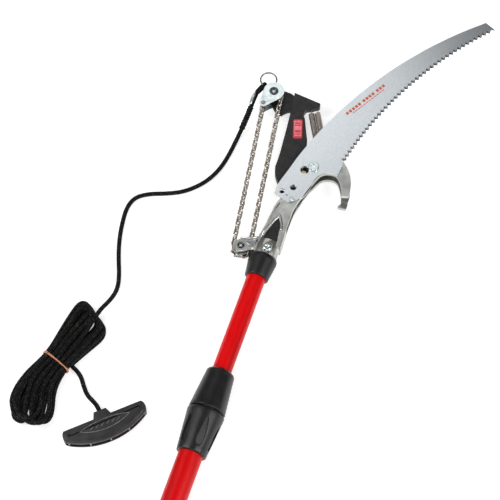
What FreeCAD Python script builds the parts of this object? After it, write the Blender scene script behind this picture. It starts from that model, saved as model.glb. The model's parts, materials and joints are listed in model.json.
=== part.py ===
import FreeCAD, Part
import Sketcher
import math
import os

# Telescoping pole with a rope-pulled pruning head and a curved saw blade. Millimetres.
# Head coordinates: x to the right, y along the pole to the saw, z up, measured from the
# lower edge of the boot on the pole's axis. place() shifts them into the part's own frame.

doc = FreeCAD.newDocument("pole_saw")
sheet = doc.addObject("Spreadsheet::Sheet", "dims")
V = FreeCAD.Vector
Turn = FreeCAD.Rotation

DIMENSIONS = [
    ("head_x", -57.4, "head origin from the middle of the part"),
    ("head_y", 720.85, "head origin from the middle of the part"),
    ("axis_height", 27.0, "pole axis above the floor"),
    ("outer_tube_od", 35.0, "outer pole"),
    ("outer_tube_id", 30.0, "outer pole bore"),
    ("outer_tube_length", 1700.0, "outer pole"),
    ("inner_tube_od", 28.0, "inner pole"),
    ("inner_tube_id", 22.0, "inner pole bore"),
    ("inner_tube_length", 1692.0, "inner pole"),
    ("collar_radius", 27.0, "widest part of the twist lock and of the butt cap"),
    ("hang_hole", 10.0, "hole across the butt cap"),
    ("casting_thickness", 28.0, "both walls of the head and the slot"),
    ("slot_width", 14.0, "slot that the lever works in"),
    ("slot_radius", 75.0, "slot round the main bolt"),
    ("socket_radius", 18.5, "outside of the head's socket"),
    ("ear_thickness", 4.0, "each ear of the pulley bracket"),
    ("ear_gap", 16.0, "between the ears"),
    ("saw_thickness", 1.7, "saw plate"),
    ("tooth_pitch", 7.8, "saw teeth"),
    ("tooth_depth", 4.0, "saw teeth"),
    ("lever_thickness", 12.0, "lever"),
    ("arm_thickness", 4.0, "lever's arm behind the block"),
    ("kerf_width", 3.3, "slit in the lever for the pruning blade"),
    ("blade_thickness", 3.2, "pruning blade"),
    ("bolt_radius", 5.0, "main bolt"),
    ("running_gap", 0.06, "radial gap where one piece turns on another"),
    ("plate_thickness", 1.8, "plates of the travelling block"),
    ("rivet_radius", 3.6, "hollow axles of both sheaves"),
    ("sheave_radius", 12.5, "flanges of both sheaves"),
    ("sheave_width", 11.2, "both sheaves"),
    ("groove_width", 8.8, "chain groove"),
    ("core_radius", 6.8, "bottom of the chain groove"),
    ("pitch_radius", 12.0, "chain's centre line round a sheave"),
    ("link_wire", 2.1, "chain wire"),
    ("link_length", 12.7, "outside length of a link"),
    ("link_width", 8.0, "outside width of a link"),
    ("ring_radius", 12.3, "wire ring, to the middle of its wire"),
    ("ring_wire", 2.6, "wire of the ring"),
    ("cord_diameter", 6.0, "pull cord"),
    ("spring_radius", 4.7, "return springs"),
    ("hank_height", 20.0, "folded cord"),
    ("handle_thickness", 19.0, "T-handle"),
]

for line, (word, value, note) in enumerate(DIMENSIONS, start=1):
    sheet.set("A%d" % line, word)
    sheet.set("B%d" % line, str(value))
    sheet.set("C%d" % line, note)
    sheet.setAlias("B%d" % line, word)
doc.recompute()


def dim(word):
    return float(sheet.get(word))


def place(x=0.0, y=0.0, z=0.0, turn=None):
    shift = V(dim("head_x"), dim("head_y"), dim("axis_height"))
    return FreeCAD.Placement(shift + V(x, y, z), turn or Turn())


ALONG_POLE = Turn(V(1, 0, 0), -90)    # a turned piece's own z axis laid along the pole
SCALLOP_TURN = Turn(V(0, 0, 1), 20)    # the collar's scallops stand round to the saw's side
NODES = []


# ---------------------------------------------------------------- feature helpers

def new_body(name, x=0.0, y=0.0, z=0.0, turn=None):
    body = doc.addObject("PartDesign::Body", name)
    body.Label = name
    body.Placement = place(x, y, z, turn)
    NODES.append(body)
    return body


def new_sketch(body, plane, lift="0", tilt=None):
    sketch = body.newObject("Sketcher::SketchObject", body.Name + "_sketch")
    origin = [item for item in body.Origin.OriginFeatures if item.Role == plane]
    sketch.AttachmentSupport = [(origin[0], "")]
    sketch.MapMode = "FlatFace"
    if tilt:
        sketch.AttachmentOffset = tilt
    sketch.setExpression("AttachmentOffset.Base.z", lift)
    return sketch


def draw(sketch, outline):
    """Closed outline: (x, y) ends a straight run, (x, y, mid_x, mid_y) ends an arc."""
    start = V(outline[-1][0], outline[-1][1], 0)
    for corner in outline:
        end = V(corner[0], corner[1], 0)
        if len(corner) == 4:
            sketch.addGeometry(Part.Arc(start, V(corner[2], corner[3], 0), end), False)
        elif (end - start).Length > 0.001:
            sketch.addGeometry(Part.LineSegment(start, end), False)
        start = end


def circle(sketch, x, y, radius):
    """Circle whose radius is an expression on the sheet."""
    ring = sketch.addGeometry(Part.Circle(V(x, y, 0), V(0, 0, 1), 1.0), False)
    rule = sketch.addConstraint(Sketcher.Constraint("Radius", ring, 1.0))
    sketch.setExpression("Constraints[%d]" % rule, radius)


def extrude(body, sketch, kind, length, both=False, back=False):
    feature = body.newObject("PartDesign::" + kind, body.Name + "_" + kind.lower())
    feature.Profile = sketch
    feature.setExpression("Length", length)
    if both:
        feature.SideType = "Symmetric"
    feature.Reversed = back
    body.Tip = feature
    doc.recompute()
    return feature


def revolve(body, sketch, kind):
    feature = body.newObject("PartDesign::" + kind, body.Name + "_" + kind.lower())
    feature.Profile = sketch
    feature.ReferenceAxis = (sketch, ["V_Axis"])
    feature.Angle = 360.0
    body.Tip = feature
    doc.recompute()
    return feature


def turned(name, profile, x=0.0, y=0.0, z=0.0, turn=None):
    """Piece turned about its own z axis from a half outline of (radius, height) points."""
    body = new_body(name, x, y, z, turn)
    sketch = new_sketch(body, "XZ_Plane")
    draw(sketch, profile)
    revolve(body, sketch, "Revolution")
    return body


def cut_circles(body, holes, lift, length, both=False, back=False):
    sketch = new_sketch(body, "XY_Plane", lift)
    for x, y, radius in holes:
        circle(sketch, x, y, radius)
    return extrude(body, sketch, "Pocket", length, both, back)


def plate(name, outline, lift, thickness, both=False, holes=()):
    """Flat piece in the plane of the head, from one outline, with through holes."""
    body = new_body(name)
    sketch = new_sketch(body, "XY_Plane", lift)
    draw(sketch, outline)
    for x, y, radius in holes:
        circle(sketch, x, y, radius)
    extrude(body, sketch, "Pad", thickness, both)
    return body


def piece(name, shape):
    """Piece whose shape no feature above can make: chain links, cords, groups."""
    feature = doc.addObject("Part::Feature", name)
    feature.Label = name
    feature.Shape = shape
    feature.Placement = place()
    NODES.append(feature)
    return feature


def primitive(kind, name, **sizes):
    item = doc.addObject("Part::" + kind, name)
    for prop, rule in sizes.items():
        item.setExpression(prop, rule)
    return item


def boolean(kind, name, base, tool):
    item = doc.addObject("Part::" + kind, name)
    item.Base = base
    item.Tool = tool
    item.Label = name
    return item


def tube(name, outside, inside, length, y):
    outer = primitive("Cylinder", name + "_outside", Radius=outside, Height=length)
    inner = primitive("Cylinder", name + "_bore", Radius=inside, Height=length)
    item = boolean("Cut", name, outer, inner)
    item.Placement = place(0, y, 0, ALONG_POLE)
    NODES.append(item)


def polar(centre, radius, degrees):
    angle = math.radians(degrees)
    return centre[0] + radius * math.cos(angle), centre[1] + radius * math.sin(angle)


# ---------------------------------------------------------------- places in the head

PIVOT = (25.0, 190.0)           # main bolt
LOWER_AXLE = (-36.0, 36.0)      # sheave in the bracket
BLOCK_AXLE = (-73.0, 299.0)     # sheave in the travelling block
SMALL_RIVET = (-82.0, 275.0)    # chain's fixed end, in the block
LOW_BOLT = (11.0, 128.0)
SOCKET_SCREW = (2.0, 42.0)
SPRING_PINS = [(22.5, 222.5), (32.0, 225.0)]
OUTER_TUBE_TOP = -222.0
BOOT_HEIGHT = 33.0
SOCKET_DEPTH = 53.0


# ---------------------------------------------------------------- pole

def pole_tubes():
    bottom = OUTER_TUBE_TOP - dim("outer_tube_length")
    tube("outer_pole_tube", "dims.outer_tube_od / 2", "dims.outer_tube_id / 2",
         "dims.outer_tube_length", bottom)
    tube("inner_pole_tube", "dims.inner_tube_od / 2", "dims.inner_tube_id / 2",
         "dims.inner_tube_length", SOCKET_DEPTH - 1.0 - dim("inner_tube_length"))


def butt_cap():
    sleeve = dim("outer_tube_od") / 2
    foot = dim("collar_radius")
    solid_end = 35.0
    profile = [(0, 0), (foot - 1.5, 0), (foot, 1.5), (foot, 9), (21.5, 13), (21.5, 68),
               (20, 72), (sleeve, 72), (sleeve, solid_end), (0, solid_end)]
    bottom = OUTER_TUBE_TOP - dim("outer_tube_length") - solid_end
    body = turned("butt_cap", profile, 0, bottom, 0, ALONG_POLE)
    sketch = new_sketch(body, "XZ_Plane")
    circle(sketch, 0, 24, "dims.hang_hole / 2")
    extrude(body, sketch, "Pocket", "dims.collar_radius * 2.2", both=True)


def collar_base():
    sleeve = dim("outer_tube_od") / 2
    wide = dim("collar_radius")
    height = 64.2
    profile = [(sleeve, 0), (20.5, 0), (21.5, 1.2), (wide, 61.0), (wide, 62.6),
               (wide - 1.4, height), (sleeve, height)]
    body = turned("collar_base", profile, 0, -283, 0, ALONG_POLE * SCALLOP_TURN)
    slope = math.degrees(math.atan((wide - 21.5) / 59.8))
    tilt = FreeCAD.Placement(V(0, 0, 0), Turn(V(1, 0, 0), slope))
    sketch = new_sketch(body, "XZ_Plane", "19.3", tilt)
    draw(sketch, [(0, 51), (4.6, 32, 3.0, 42), (5.2, 16, 5.3, 24), (-5.2, 16, 0, 10.5),
                  (-4.6, 32, -5.3, 24), (0, 51, -3.0, 42)])
    pocket = extrude(body, sketch, "Pocket", "20", back=True)
    pattern = body.newObject("PartDesign::PolarPattern", "collar_scallops")
    pattern.Originals = [pocket]
    pattern.Axis = (body.Origin.OriginFeatures[2], [""])
    pattern.Angle = 360.0
    pattern.Occurrences = 6
    body.Tip = pattern
    doc.recompute()


def collar_nut():
    wide = dim("collar_radius") - 0.6
    profile = [(17.8, 0), (wide - 1.3, 0), (wide, 1.5), (20.8, 55.5), (18.6, 61.2, 20.3, 59),
               (15.6, 63.2), (14.5, 63.2), (14.5, 57), (17.8, 47)]
    turned("collar_nut", profile, 0, -217.2, 0, ALONG_POLE)


def lock_collet():
    bore = dim("inner_tube_od") / 2 + dim("running_gap")
    profile = [(bore, 0), (17.4, 0), (17.4, 42), (15.6, 50), (bore, 50)]
    body = turned("lock_collet", profile, 0, OUTER_TUBE_TOP, 0, ALONG_POLE)
    sketch = new_sketch(body, "XZ_Plane")
    draw(sketch, [(-1.2, 8), (1.2, 8), (1.2, 60), (-1.2, 60)])
    extrude(body, sketch, "Pocket", "25")


def pole_guide():
    stub = dim("inner_tube_id") / 2
    flange = dim("outer_tube_id") / 2 - 0.08
    profile = [(0, 0), (flange, 0), (flange, 18), (stub, 18), (stub, 48), (0, 48)]
    bottom = SOCKET_DEPTH - 1.0 - dim("inner_tube_length") - 18
    turned("inner_pole_guide", profile, 0, bottom, 0, ALONG_POLE)


def boot():
    pole = dim("inner_tube_od") / 2
    profile = [(pole, -2), (16.6, -2), (17.4, -1.2), (21.0, 25.5), (19.2, BOOT_HEIGHT, 20.8, 29.9),
               (16.5, BOOT_HEIGHT), (16.5, 25), (pole, 25)]
    turned("ferrule_boot", profile, 0, 0, 0, ALONG_POLE)


# ---------------------------------------------------------------- head casting

WALLS = [
    (-15.5, 50), (-15.5, 60), (-10.6, 101.8, -12.3, 84), (-6.4, 124.7, -9.3, 112.5), (1, 150),
    (8, 176), (12, 212, 7.5, 195), (20, 230), (36, 233, 28, 234), (54, 221),
    (76, 201, 67, 210.5), (88, 161, 85.6, 181), (78, 158), (66, 184, 73.2, 172.5),
    (50, 188, 58.5, 188.6), (37, 178, 42, 184.6), (29, 161), (24, 144), (22.5, 135),
    (18, 108, 19.2, 122), (18, 86), (19.5, 62), (19.5, 50),
]
HOOK_TIP = [
    (78, 163), (88, 163), (88.2, 156.5), (84, 153, 87.4, 153.9), (77.4, 151.8),
    (75.4, 155, 75.2, 152.4), (77.6, 158.4),
]
WINDOW = [(-8, 55.3), (2.4, 95.3, -3.6, 80), (9.6, 76, 6.6, 87.5), (11.6, 56.2)]


def ear_outline():
    """Ear of the pulley bracket: round about the axle, straight to the socket."""
    reach = 11.0
    middle = (LOWER_AXLE[0] + 1.5, LOWER_AXLE[1])
    top = polar(middle, reach, 108)
    left = polar(middle, reach, 182)
    bottom = polar(middle, reach, 256)
    return [(-10, 57), top, bottom + left, (-20, 34), (-10, 34)]


def ear_pads(body):
    for side in (1, -1):
        lift = "%d * dims.ear_gap / 2" % side
        sketch = new_sketch(body, "XY_Plane", lift)
        draw(sketch, ear_outline())
        extrude(body, sketch, "Pad", "dims.ear_thickness", back=side < 0)
        sketch = new_sketch(body, "XY_Plane", "%d * (dims.sheave_width / 2 + 0.3)" % side)
        circle(sketch, LOWER_AXLE[0], LOWER_AXLE[1], "dims.rivet_radius + 2")
        extrude(body, sketch, "Pad", "(dims.ear_gap - dims.sheave_width) / 2", back=side < 0)


def ear_recesses(body):
    for side in (1, -1):
        sketch = new_sketch(body, "XY_Plane", "%d * (dims.ear_gap / 2 + dims.ear_thickness)" % side)
        draw(sketch, [(-20, 52), (-29.5, 46.8), (-25.5, 38, -25.8, 43), (-20, 38)])
        extrude(body, sketch, "Pocket", "1.6", back=side < 0)


def head_casting():
    body = new_body("head_casting")
    sketch = new_sketch(body, "XY_Plane")
    draw(sketch, WALLS)
    extrude(body, sketch, "Pad", "dims.casting_thickness", both=True)
    # The socket is turned about the pole's axis, which is the sketch's upright.
    socket = dim("socket_radius")
    sketch = new_sketch(body, "XY_Plane")
    draw(sketch, [(0, 25), (16.5, 25), (16.5, BOOT_HEIGHT), (socket, BOOT_HEIGHT),
                  (socket, 58), (15.3, 72, 17.4, 66), (11.2, 88), (8, 100), (0, 104)])
    revolve(body, sketch, "Revolution")
    sketch = new_sketch(body, "XY_Plane", "-dims.casting_thickness / 2")
    draw(sketch, HOOK_TIP)
    extrude(body, sketch, "Pad", "(dims.casting_thickness - dims.slot_width) / 2", back=True)
    ear_pads(body)
    sketch = new_sketch(body, "XY_Plane")
    draw(sketch, [(0, 24), (14, 24), (14, SOCKET_DEPTH), (10, SOCKET_DEPTH), (9, 70),
                  (5, 88), (0, 92)])
    revolve(body, sketch, "Groove")
    ear_recesses(body)
    sketch = new_sketch(body, "XY_Plane")
    circle(sketch, PIVOT[0], PIVOT[1], "dims.slot_radius")
    extrude(body, sketch, "Pocket", "dims.slot_width", both=True)
    sketch = new_sketch(body, "XY_Plane")
    draw(sketch, [(11, 82), (40, 82), (40, 128), (3, 128), (5, 108)])
    extrude(body, sketch, "Pocket", "dims.slot_width", both=True)
    sketch = new_sketch(body, "XY_Plane", "3")
    draw(sketch, WINDOW)
    extrude(body, sketch, "Pocket", "20", back=True)
    cut_circles(body, [(SOCKET_SCREW[0], SOCKET_SCREW[1], "6.7")], "16.6", "5", back=True)
    cut_circles(body, [(SOCKET_SCREW[0], SOCKET_SCREW[1], "2.4")], "10", "10", back=True)
    cut_circles(body, [(PIVOT[0], PIVOT[1], "dims.bolt_radius")], "0", "40", both=True)
    cut_circles(body, [(14, 181, "6")], "0", "20", back=True)
    cut_circles(body, [(LOW_BOLT[0], LOW_BOLT[1], "2")], "0", "20", back=True)
    cut_circles(body, [(7, 148, "4.4"), (-7, 137, "3.6")], "0", "20", back=True)
    cut_circles(body, [(x, y, "2") for x, y in SPRING_PINS], "0", "40", both=True)
    cut_circles(body, [(LOWER_AXLE[0], LOWER_AXLE[1], "dims.rivet_radius")], "0", "40", both=True)


def head_fittings():
    turned("socket_insert", [(0, 53.2), (9.8, 53.2), (8.8, 70), (4.8, 87.5), (0, 91)],
           0, 0, 0, ALONG_POLE)
    turned("socket_screw", [(0, 14.1), (2.4, 14.1), (2.4, 16.6), (6.5, 16.6), (6.5, 17.8),
                            (5.9, 19.4), (4.6, 20.5), (3.2, 20.8), (1.6, 19.8), (0, 19.6)],
           SOCKET_SCREW[0], SOCKET_SCREW[1], 0)
    half = dim("casting_thickness") / 2
    top = half + dim("saw_thickness")
    shank = dim("bolt_radius")
    turned("pivot_bolt", [(0, -half - 7.5), (shank - 0.8, -half - 7.5), (shank, -half - 6.7),
                          (shank, top), (7.5, top), (7.5, top + 2.2), (6.6, top + 3.2),
                          (4.2, top + 3.2), (3.6, top + 1.2), (0, top + 1.2)],
           PIVOT[0], PIVOT[1], 0)
    turned("blade_bolt_low", [(0, 7.5), (2, 7.5), (2, top), (3.7, top), (3.7, top + 1.4),
                              (2.8, top + 2.2), (0, top + 2.2)], LOW_BOLT[0], LOW_BOLT[1], 0)


def pivot_nut():
    body = new_body("pivot_nut", PIVOT[0], PIVOT[1], -dim("casting_thickness") / 2)
    sketch = new_sketch(body, "XY_Plane")
    draw(sketch, [polar((0, 0), 8.7, 60 * k) for k in range(6)])
    circle(sketch, 0, 0, "dims.bolt_radius")
    extrude(body, sketch, "Pad", "6", back=True)


def hollow_axle(name, centre, bottom, top, head, bore):
    """Hollow rivet: a tube with a rolled head on both sides."""
    shank = dim("rivet_radius")
    turned(name, [(bore, bottom - 0.9), (head - 0.5, bottom - 0.9), (head, bottom),
                  (shank, bottom), (shank, top), (head, top), (head - 0.7, top + 1.1),
                  (bore + 1.2, top + 1.1), (bore, top)], centre[0], centre[1], 0)


def spring_pins():
    pins = []
    height = dim("casting_thickness")
    for x, y in SPRING_PINS:
        pins.append(Part.makeCylinder(2, height, V(x, y, -height / 2)))
    piece("spring_pins", Part.makeCompound(pins))


# ---------------------------------------------------------------- saw blade

SPINE_CENTRE = (644.4, 8.8)
SPINE_RADIUS = 674.2
TOOTH_CENTRE = (683.0, 82.8)
TOOTH_RADIUS = 630.6
TEETH_FROM = 168.0
TEETH_TO = 138.2


def tooth_line():
    """Tips and gullets along the concave edge, from the heel to the point."""
    step = math.degrees(dim("tooth_pitch") / TOOTH_RADIUS)
    count = int((TEETH_FROM - TEETH_TO) / step)
    tip = TOOTH_RADIUS - 0.8
    gullet = tip + dim("tooth_depth")
    points = []
    for k in range(count):
        points.append(polar(TOOTH_CENTRE, gullet, TEETH_FROM - k * step))
        points.append(polar(TOOTH_CENTRE, tip, TEETH_FROM - (k + 0.45) * step))
    return points


def saw_blade():
    spine_top = polar(SPINE_CENTRE, SPINE_RADIUS, 131.3)
    spine_mid = polar(SPINE_CENTRE, SPINE_RADIUS, 147.5)
    spine_low = polar(SPINE_CENTRE, SPINE_RADIUS, 163.8)
    outline = [(-9.7, 126.8), (7, 122), (22.5, 134), (24.5, 145), (29.5, 161), (33.5, 173),
               (50, 188, 39.5, 183), (63, 187.5), (65, 205)]
    outline += tooth_line()
    outline += [(217, 507), spine_top, spine_low + spine_mid, (-9.6, 170.9),
                (-16.2, 146, -13.1, 158.5), (-16.6, 131.4), (-13.6, 127.6, -15.9, 128.6)]
    plate("saw_blade", outline, "dims.casting_thickness / 2", "dims.saw_thickness",
          holes=[(PIVOT[0], PIVOT[1], "dims.bolt_radius"), (LOW_BOLT[0], LOW_BOLT[1], "2"),
                 (14, 181, "6.6"), (7, 148, "4.8"), (-7, 137, "4"), (2, 132.5, "1.5")])


# ---------------------------------------------------------------- lever and pruning blade

LEVER = [
    (-42.3, 307.4), (-3.2, 302.2), (-2.4, 294.7, 1.0, 298.6), (-16.1, 286.5, -8.6, 290.2),
    (-14, 269.4, -18.2, 278), (-1.7, 240.5), (2.4, 226.5, 1.2, 233.4), (15.5, 200.3),
    (39, 190, 33, 201.5), (25, 176, 34.9, 180.1), (14, 170.5), (2, 157), (-9, 150),
    (-17.5, 153.4), (-30.8, 178.6, -26.8, 166), (-33.1, 221.2, -31.2, 200),
    (-37.8, 270.3, -35.2, 246),
]
LEVER_ARM = [
    (-30, 305.8), (-42.3, 307.4), (-53, 311.4, -47.5, 310.6), (-70, 312.6),
    (-85.5, 295, -84.5, 308), (-67.6, 278.7), (-51.3, 269.8, -60.5, 272.4),
    (-42.4, 279.4, -48, 274.6), (-30, 285),
]
PRUNING_BLADE = [
    (36, 184), (30, 166), (13, 127.5, 24.5, 146), (7, 131), (-3.5, 150), (-11, 160),
    (-12, 176), (6, 190), (16, 200), (36, 184, 31, 202),
]
BLADE_RIVETS = [(12.8, 180.2), (-4.5, 169.0)]


def pull_lever():
    body = new_body("pull_lever")
    sketch = new_sketch(body, "XY_Plane")
    draw(sketch, LEVER)
    extrude(body, sketch, "Pad", "dims.lever_thickness", both=True)
    sketch = new_sketch(body, "XY_Plane", "-9.9")
    draw(sketch, LEVER_ARM)
    extrude(body, sketch, "Pad", "dims.arm_thickness")
    sketch = new_sketch(body, "XY_Plane")
    draw(sketch, [(60, 110), (60, 230), (2, 212), (-16, 184), (-16, 156), (0, 110)])
    extrude(body, sketch, "Pocket", "dims.kerf_width", both=True)
    bore = "dims.bolt_radius + dims.running_gap"
    cut_circles(body, [(PIVOT[0], PIVOT[1], bore)], "0", "40", both=True)
    cut_circles(body, [(x, y, "2.6") for x, y in BLADE_RIVETS], "0", "40", both=True)
    cut_circles(body, [(BLOCK_AXLE[0], BLOCK_AXLE[1], "dims.rivet_radius + dims.running_gap")],
                "0", "40", both=True)


def pruning_blade():
    holes = [(x, y, "2.6") for x, y in BLADE_RIVETS]
    holes.append((PIVOT[0], PIVOT[1], "dims.bolt_radius + dims.running_gap"))
    plate("pruning_blade", PRUNING_BLADE, "0", "dims.blade_thickness", both=True, holes=holes)


def blade_rivets():
    rivets = []
    half = dim("lever_thickness") / 2
    for x, y in BLADE_RIVETS:
        shank = Part.makeCylinder(2.6, 2 * half, V(x, y, -half))
        cap = Part.makeCylinder(3.8, 0.6, V(x, y, half))
        rivets.append(shank.fuse(cap))
    piece("blade_rivets", Part.makeCompound(rivets))


def lever_label():
    body = new_body("lever_label", -18.7, 249, dim("lever_thickness") / 2,
                    Turn(V(0, 0, 1), 16.8))
    sketch = new_sketch(body, "XY_Plane")
    draw(sketch, [(-7, -14.5), (-5, -16.5), (5, -16.5), (7, -14.5), (7, 14.5), (5, 16.5),
                  (-5, 16.5), (-7, 14.5)])
    extrude(body, sketch, "Pad", "0.3")


def spring(name, top, bottom, hook, pin):
    """Closed tube of the coil, with a wire end towards the lever and one to its pin."""
    radius = dim("spring_radius")
    axis = V(bottom[0] - top[0], bottom[1] - top[1], 0)
    coil = Part.makeCylinder(radius, axis.Length, V(top[0], top[1], 0), axis)
    coil = coil.cut(Part.makeCylinder(radius - 1.4, axis.Length, V(top[0], top[1], 0), axis))
    for start, end in ((top, hook), (bottom, pin)):
        way = V(end[0] - start[0], end[1] - start[1], 0)
        unit = V(way).normalize()
        side = V(-unit.y, unit.x, 0) * (radius - 0.7)
        base = V(start[0], start[1], 0) - unit * 2.0
        wire = Part.makeCylinder(0.9, way.Length + 2.0, base, unit)
        bar = Part.makeCylinder(0.9, 2 * radius - 1.4, base - side, side)
        coil = coil.fuse([wire, bar])
    piece(name, coil.removeSplitter())


# ---------------------------------------------------------------- travelling block

def block_outline():
    """Teardrop round both rivets, from the outer tangents of its two end arcs."""
    big = 15.7
    small = 6.1
    across = V(SMALL_RIVET[0] - BLOCK_AXLE[0], SMALL_RIVET[1] - BLOCK_AXLE[1], 0)
    heading = math.degrees(math.atan2(across.y, across.x))
    spread = math.degrees(math.acos((big - small) / across.Length))
    return [
        polar(BLOCK_AXLE, big, heading + spread),
        polar(BLOCK_AXLE, big, heading - spread) + polar(BLOCK_AXLE, big, heading + 180),
        polar(SMALL_RIVET, small, heading - spread),
        polar(SMALL_RIVET, small, heading + spread) + polar(SMALL_RIVET, small, heading),
    ]


def travelling_block():
    holes = [(BLOCK_AXLE[0], BLOCK_AXLE[1], "dims.rivet_radius"),
             (SMALL_RIVET[0], SMALL_RIVET[1], "1.6")]
    plate("block_plate_front", block_outline(), "6.4", "dims.plate_thickness", holes=holes)
    plate("block_plate_back", block_outline(), "-12", "dims.plate_thickness", holes=holes)
    hollow_axle("block_rivet", BLOCK_AXLE, -12.0, 8.2, 7.2, 2.7)
    turned("chain_rivet", [(0, -12.9), (3.0, -12.9), (3.6, -12), (1.6, -12), (1.6, 8.2),
                           (3.6, 8.2), (2.6, 9.4), (0, 9.6)], SMALL_RIVET[0], SMALL_RIVET[1], 0)


def sheave(name, centre):
    half = dim("sheave_width") / 2
    groove = dim("groove_width") / 2
    rim = dim("sheave_radius")
    core = dim("core_radius")
    bore = dim("rivet_radius") + dim("running_gap")
    turned(name, [(bore, -half), (rim, -half), (rim, -groove - 0.4), (rim - 1, -groove),
                  (core, -groove), (core, groove), (rim - 1, groove), (rim, groove + 0.4),
                  (rim, half), (bore, half)], centre[0], centre[1], 0)


# ---------------------------------------------------------------- chain

def link_solid():
    """One oval link about the origin, long in x, flat in the xy plane."""
    wire = dim("link_wire") / 2
    side = dim("link_width") / 2 - wire
    straight = dim("link_length") / 2 - wire - side
    bars = []
    for y in (side, -side):
        bars.append(Part.makeCylinder(wire, 2 * straight, V(-straight, y, 0), V(1, 0, 0)))
    for end, start in ((straight, -90), (-straight, 90)):
        bend = Part.makeTorus(side, wire, V(0, 0, 0), V(0, 0, 1), -180, 180, 180)
        bend.rotate(V(0, 0, 0), V(0, 0, 1), start)
        bend.translate(V(end, 0, 0))
        bars.append(bend)
    return bars[0].fuse(bars[1:]).removeSplitter()


LINK = link_solid()


def link_at(x, y, heading, upright):
    link = LINK.copy()
    if upright:
        link.rotate(V(0, 0, 0), V(1, 0, 0), 90)
    link.rotate(V(0, 0, 0), V(0, 0, 1), heading)
    link.translate(V(x, y, 0))
    return link


def chain_fall(name, low, high, count, first):
    """Straight fall of links from the lower sheave's tangent to the upper one's."""
    way = V(high[0] - low[0], high[1] - low[1], 0)
    heading = math.degrees(math.atan2(way.y, way.x))
    pitch = (way.Length - 2 * first) / (count - 1)
    unit = V(way).normalize()
    links = []
    for k in range(count):
        spot = unit * (first + pitch * k)
        links.append(link_at(low[0] + spot.x, low[1] + spot.y, heading, k % 2 == 1))
    piece(name, Part.makeCompound(links))


def chain_wrap(name, centre, angles):
    links = []
    for k, angle in enumerate(angles):
        x, y = polar(centre, dim("pitch_radius"), angle)
        links.append(link_at(x, y, angle + 90, k % 2 == 0))
    piece(name, Part.makeCompound(links))


def chain():
    radius = dim("pitch_radius")
    run = V(BLOCK_AXLE[0] - LOWER_AXLE[0], BLOCK_AXLE[1] - LOWER_AXLE[1], 0)
    side = math.degrees(math.atan2(run.y, run.x)) - 90
    right_low = polar(LOWER_AXLE, radius, side)
    right_high = polar(BLOCK_AXLE, radius, side)
    to_rivet = V(SMALL_RIVET[0] - LOWER_AXLE[0], SMALL_RIVET[1] - LOWER_AXLE[1], 0)
    lean = math.degrees(math.atan2(to_rivet.y, to_rivet.x))
    left_side = lean + math.degrees(math.acos(radius / to_rivet.Length))
    left_low = polar(LOWER_AXLE, radius, left_side)
    wrap = 360 + side - left_side
    chain_fall("chain_right_fall", right_low, right_high, 31, 6.4)
    chain_wrap("chain_lower_wrap", LOWER_AXLE,
               [left_side + 9 + (wrap - 18) * k / 4.0 for k in range(5)])
    chain_wrap("chain_upper_wrap", BLOCK_AXLE, [side + 6.7, side + 47.15, side + 71.0])
    fall = V(SMALL_RIVET[0] - left_low[0], SMALL_RIVET[1] - left_low[1], 0)
    unit = V(fall).normalize()
    heading = math.degrees(math.atan2(fall.y, fall.x))
    reach = fall.Length - 2.6
    links = []
    for k in range(29):
        spot = 6.4 + (reach - 6.4) * k / 28.0
        links.append(link_at(left_low[0] + unit.x * spot, left_low[1] + unit.y * spot,
                             heading, k % 2 == 1))
    piece("chain_left_fall", Part.makeCompound(links))


# ---------------------------------------------------------------- cord and its pieces

RING_CENTRE = (-88.3, 319.8)
CLIP_WAY = (-0.33, -0.944)      # from the ring towards the cord
CLIP_LENGTH = 16.0
CORD_ROUTE = [
    (-98.2, 290.2, 0), (-98.8, 278, -1), (-99.4, 264, -4), (-100.6, 249, -10),
    (-103.2, 232, -19), (-105.6, 212, -24), (-107.8, 187, -24), (-113, 160, -24),
    (-126, 133, -24),
    (-149, 109.5, -24), (-173, 97.5, -24), (-199, 88.5, -24), (-217, 76, -24),
    (-222.5, 57, -24), (-220.5, 34, -24), (-215, 5, -24), (-205.5, -24, -24),
    (-194, -51, -24), (-188, -74, -24), (-190.8, -95.6, -24), (-201, -113.5, -24),
]
TAIL_ROUTE = [
    (-209, -206.5, -22), (-198.6, -210.2, -23.3), (-188.5, -218, -23.8),
    (-179.8, -230.5, -23.5), (-170, -241.5, -21.5), (-158.5, -247.8, -18.8),
    (-150, -253.2, -17.6), (-143.6, -260.2, -17.5),
]
HANK = [
    (-197.1, -115.7), (-204.9, -111.3), (-213, -108.8), (-226, -103.5),
    (-234, -120, -232, -110), (-249, -197),
    (-250.5, -203), (-267, -220), (-266.5, -231), (-274, -258), (-270, -273), (-273, -284),
    (-257, -306.5), (-230, -309), (-205, -298.5), (-205, -283), (-215, -239), (-213, -214),
    (-205, -199), (-173.5, -149), (-173, -141), (-191, -126),
]


def cord_tube(name, route):
    """Straight runs joined by tangent arcs, each as large as its two runs allow."""
    corners = [V(*point) for point in route]
    edges = []
    radii = []
    start = corners[0]
    for before, corner, after in zip(corners, corners[1:], corners[2:]):
        into = V(corner - before).normalize()
        out = V(after - corner).normalize()
        half = into.getAngle(out) / 2
        reach = 0.45 * min((corner - before).Length, (after - corner).Length)
        bend = reach / math.tan(half)
        inward = V(out - into).normalize()
        first = corner - into * reach
        last = corner + out * reach
        middle = corner + inward * (bend / math.cos(half) - bend)
        edges.append(Part.LineSegment(start, first).toShape())
        edges.append(Part.Arc(first, middle, last).toShape())
        radii.append(round(bend))
        start = last
    edges.append(Part.LineSegment(start, corners[-1]).toShape())
    path = Part.Wire(edges)
    radius = dim("cord_diameter") / 2
    section = Part.Wire(Part.makeCircle(radius, corners[0], corners[1] - corners[0]))
    solid = path.makePipeShell([section], True, False)
    full = math.pi * radius ** 2 * path.Length
    print("%s: radii %s, length %.1f, volume ratio %.4f"
          % (name, radii, path.Length, solid.Volume / full))
    piece(name, solid)


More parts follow.
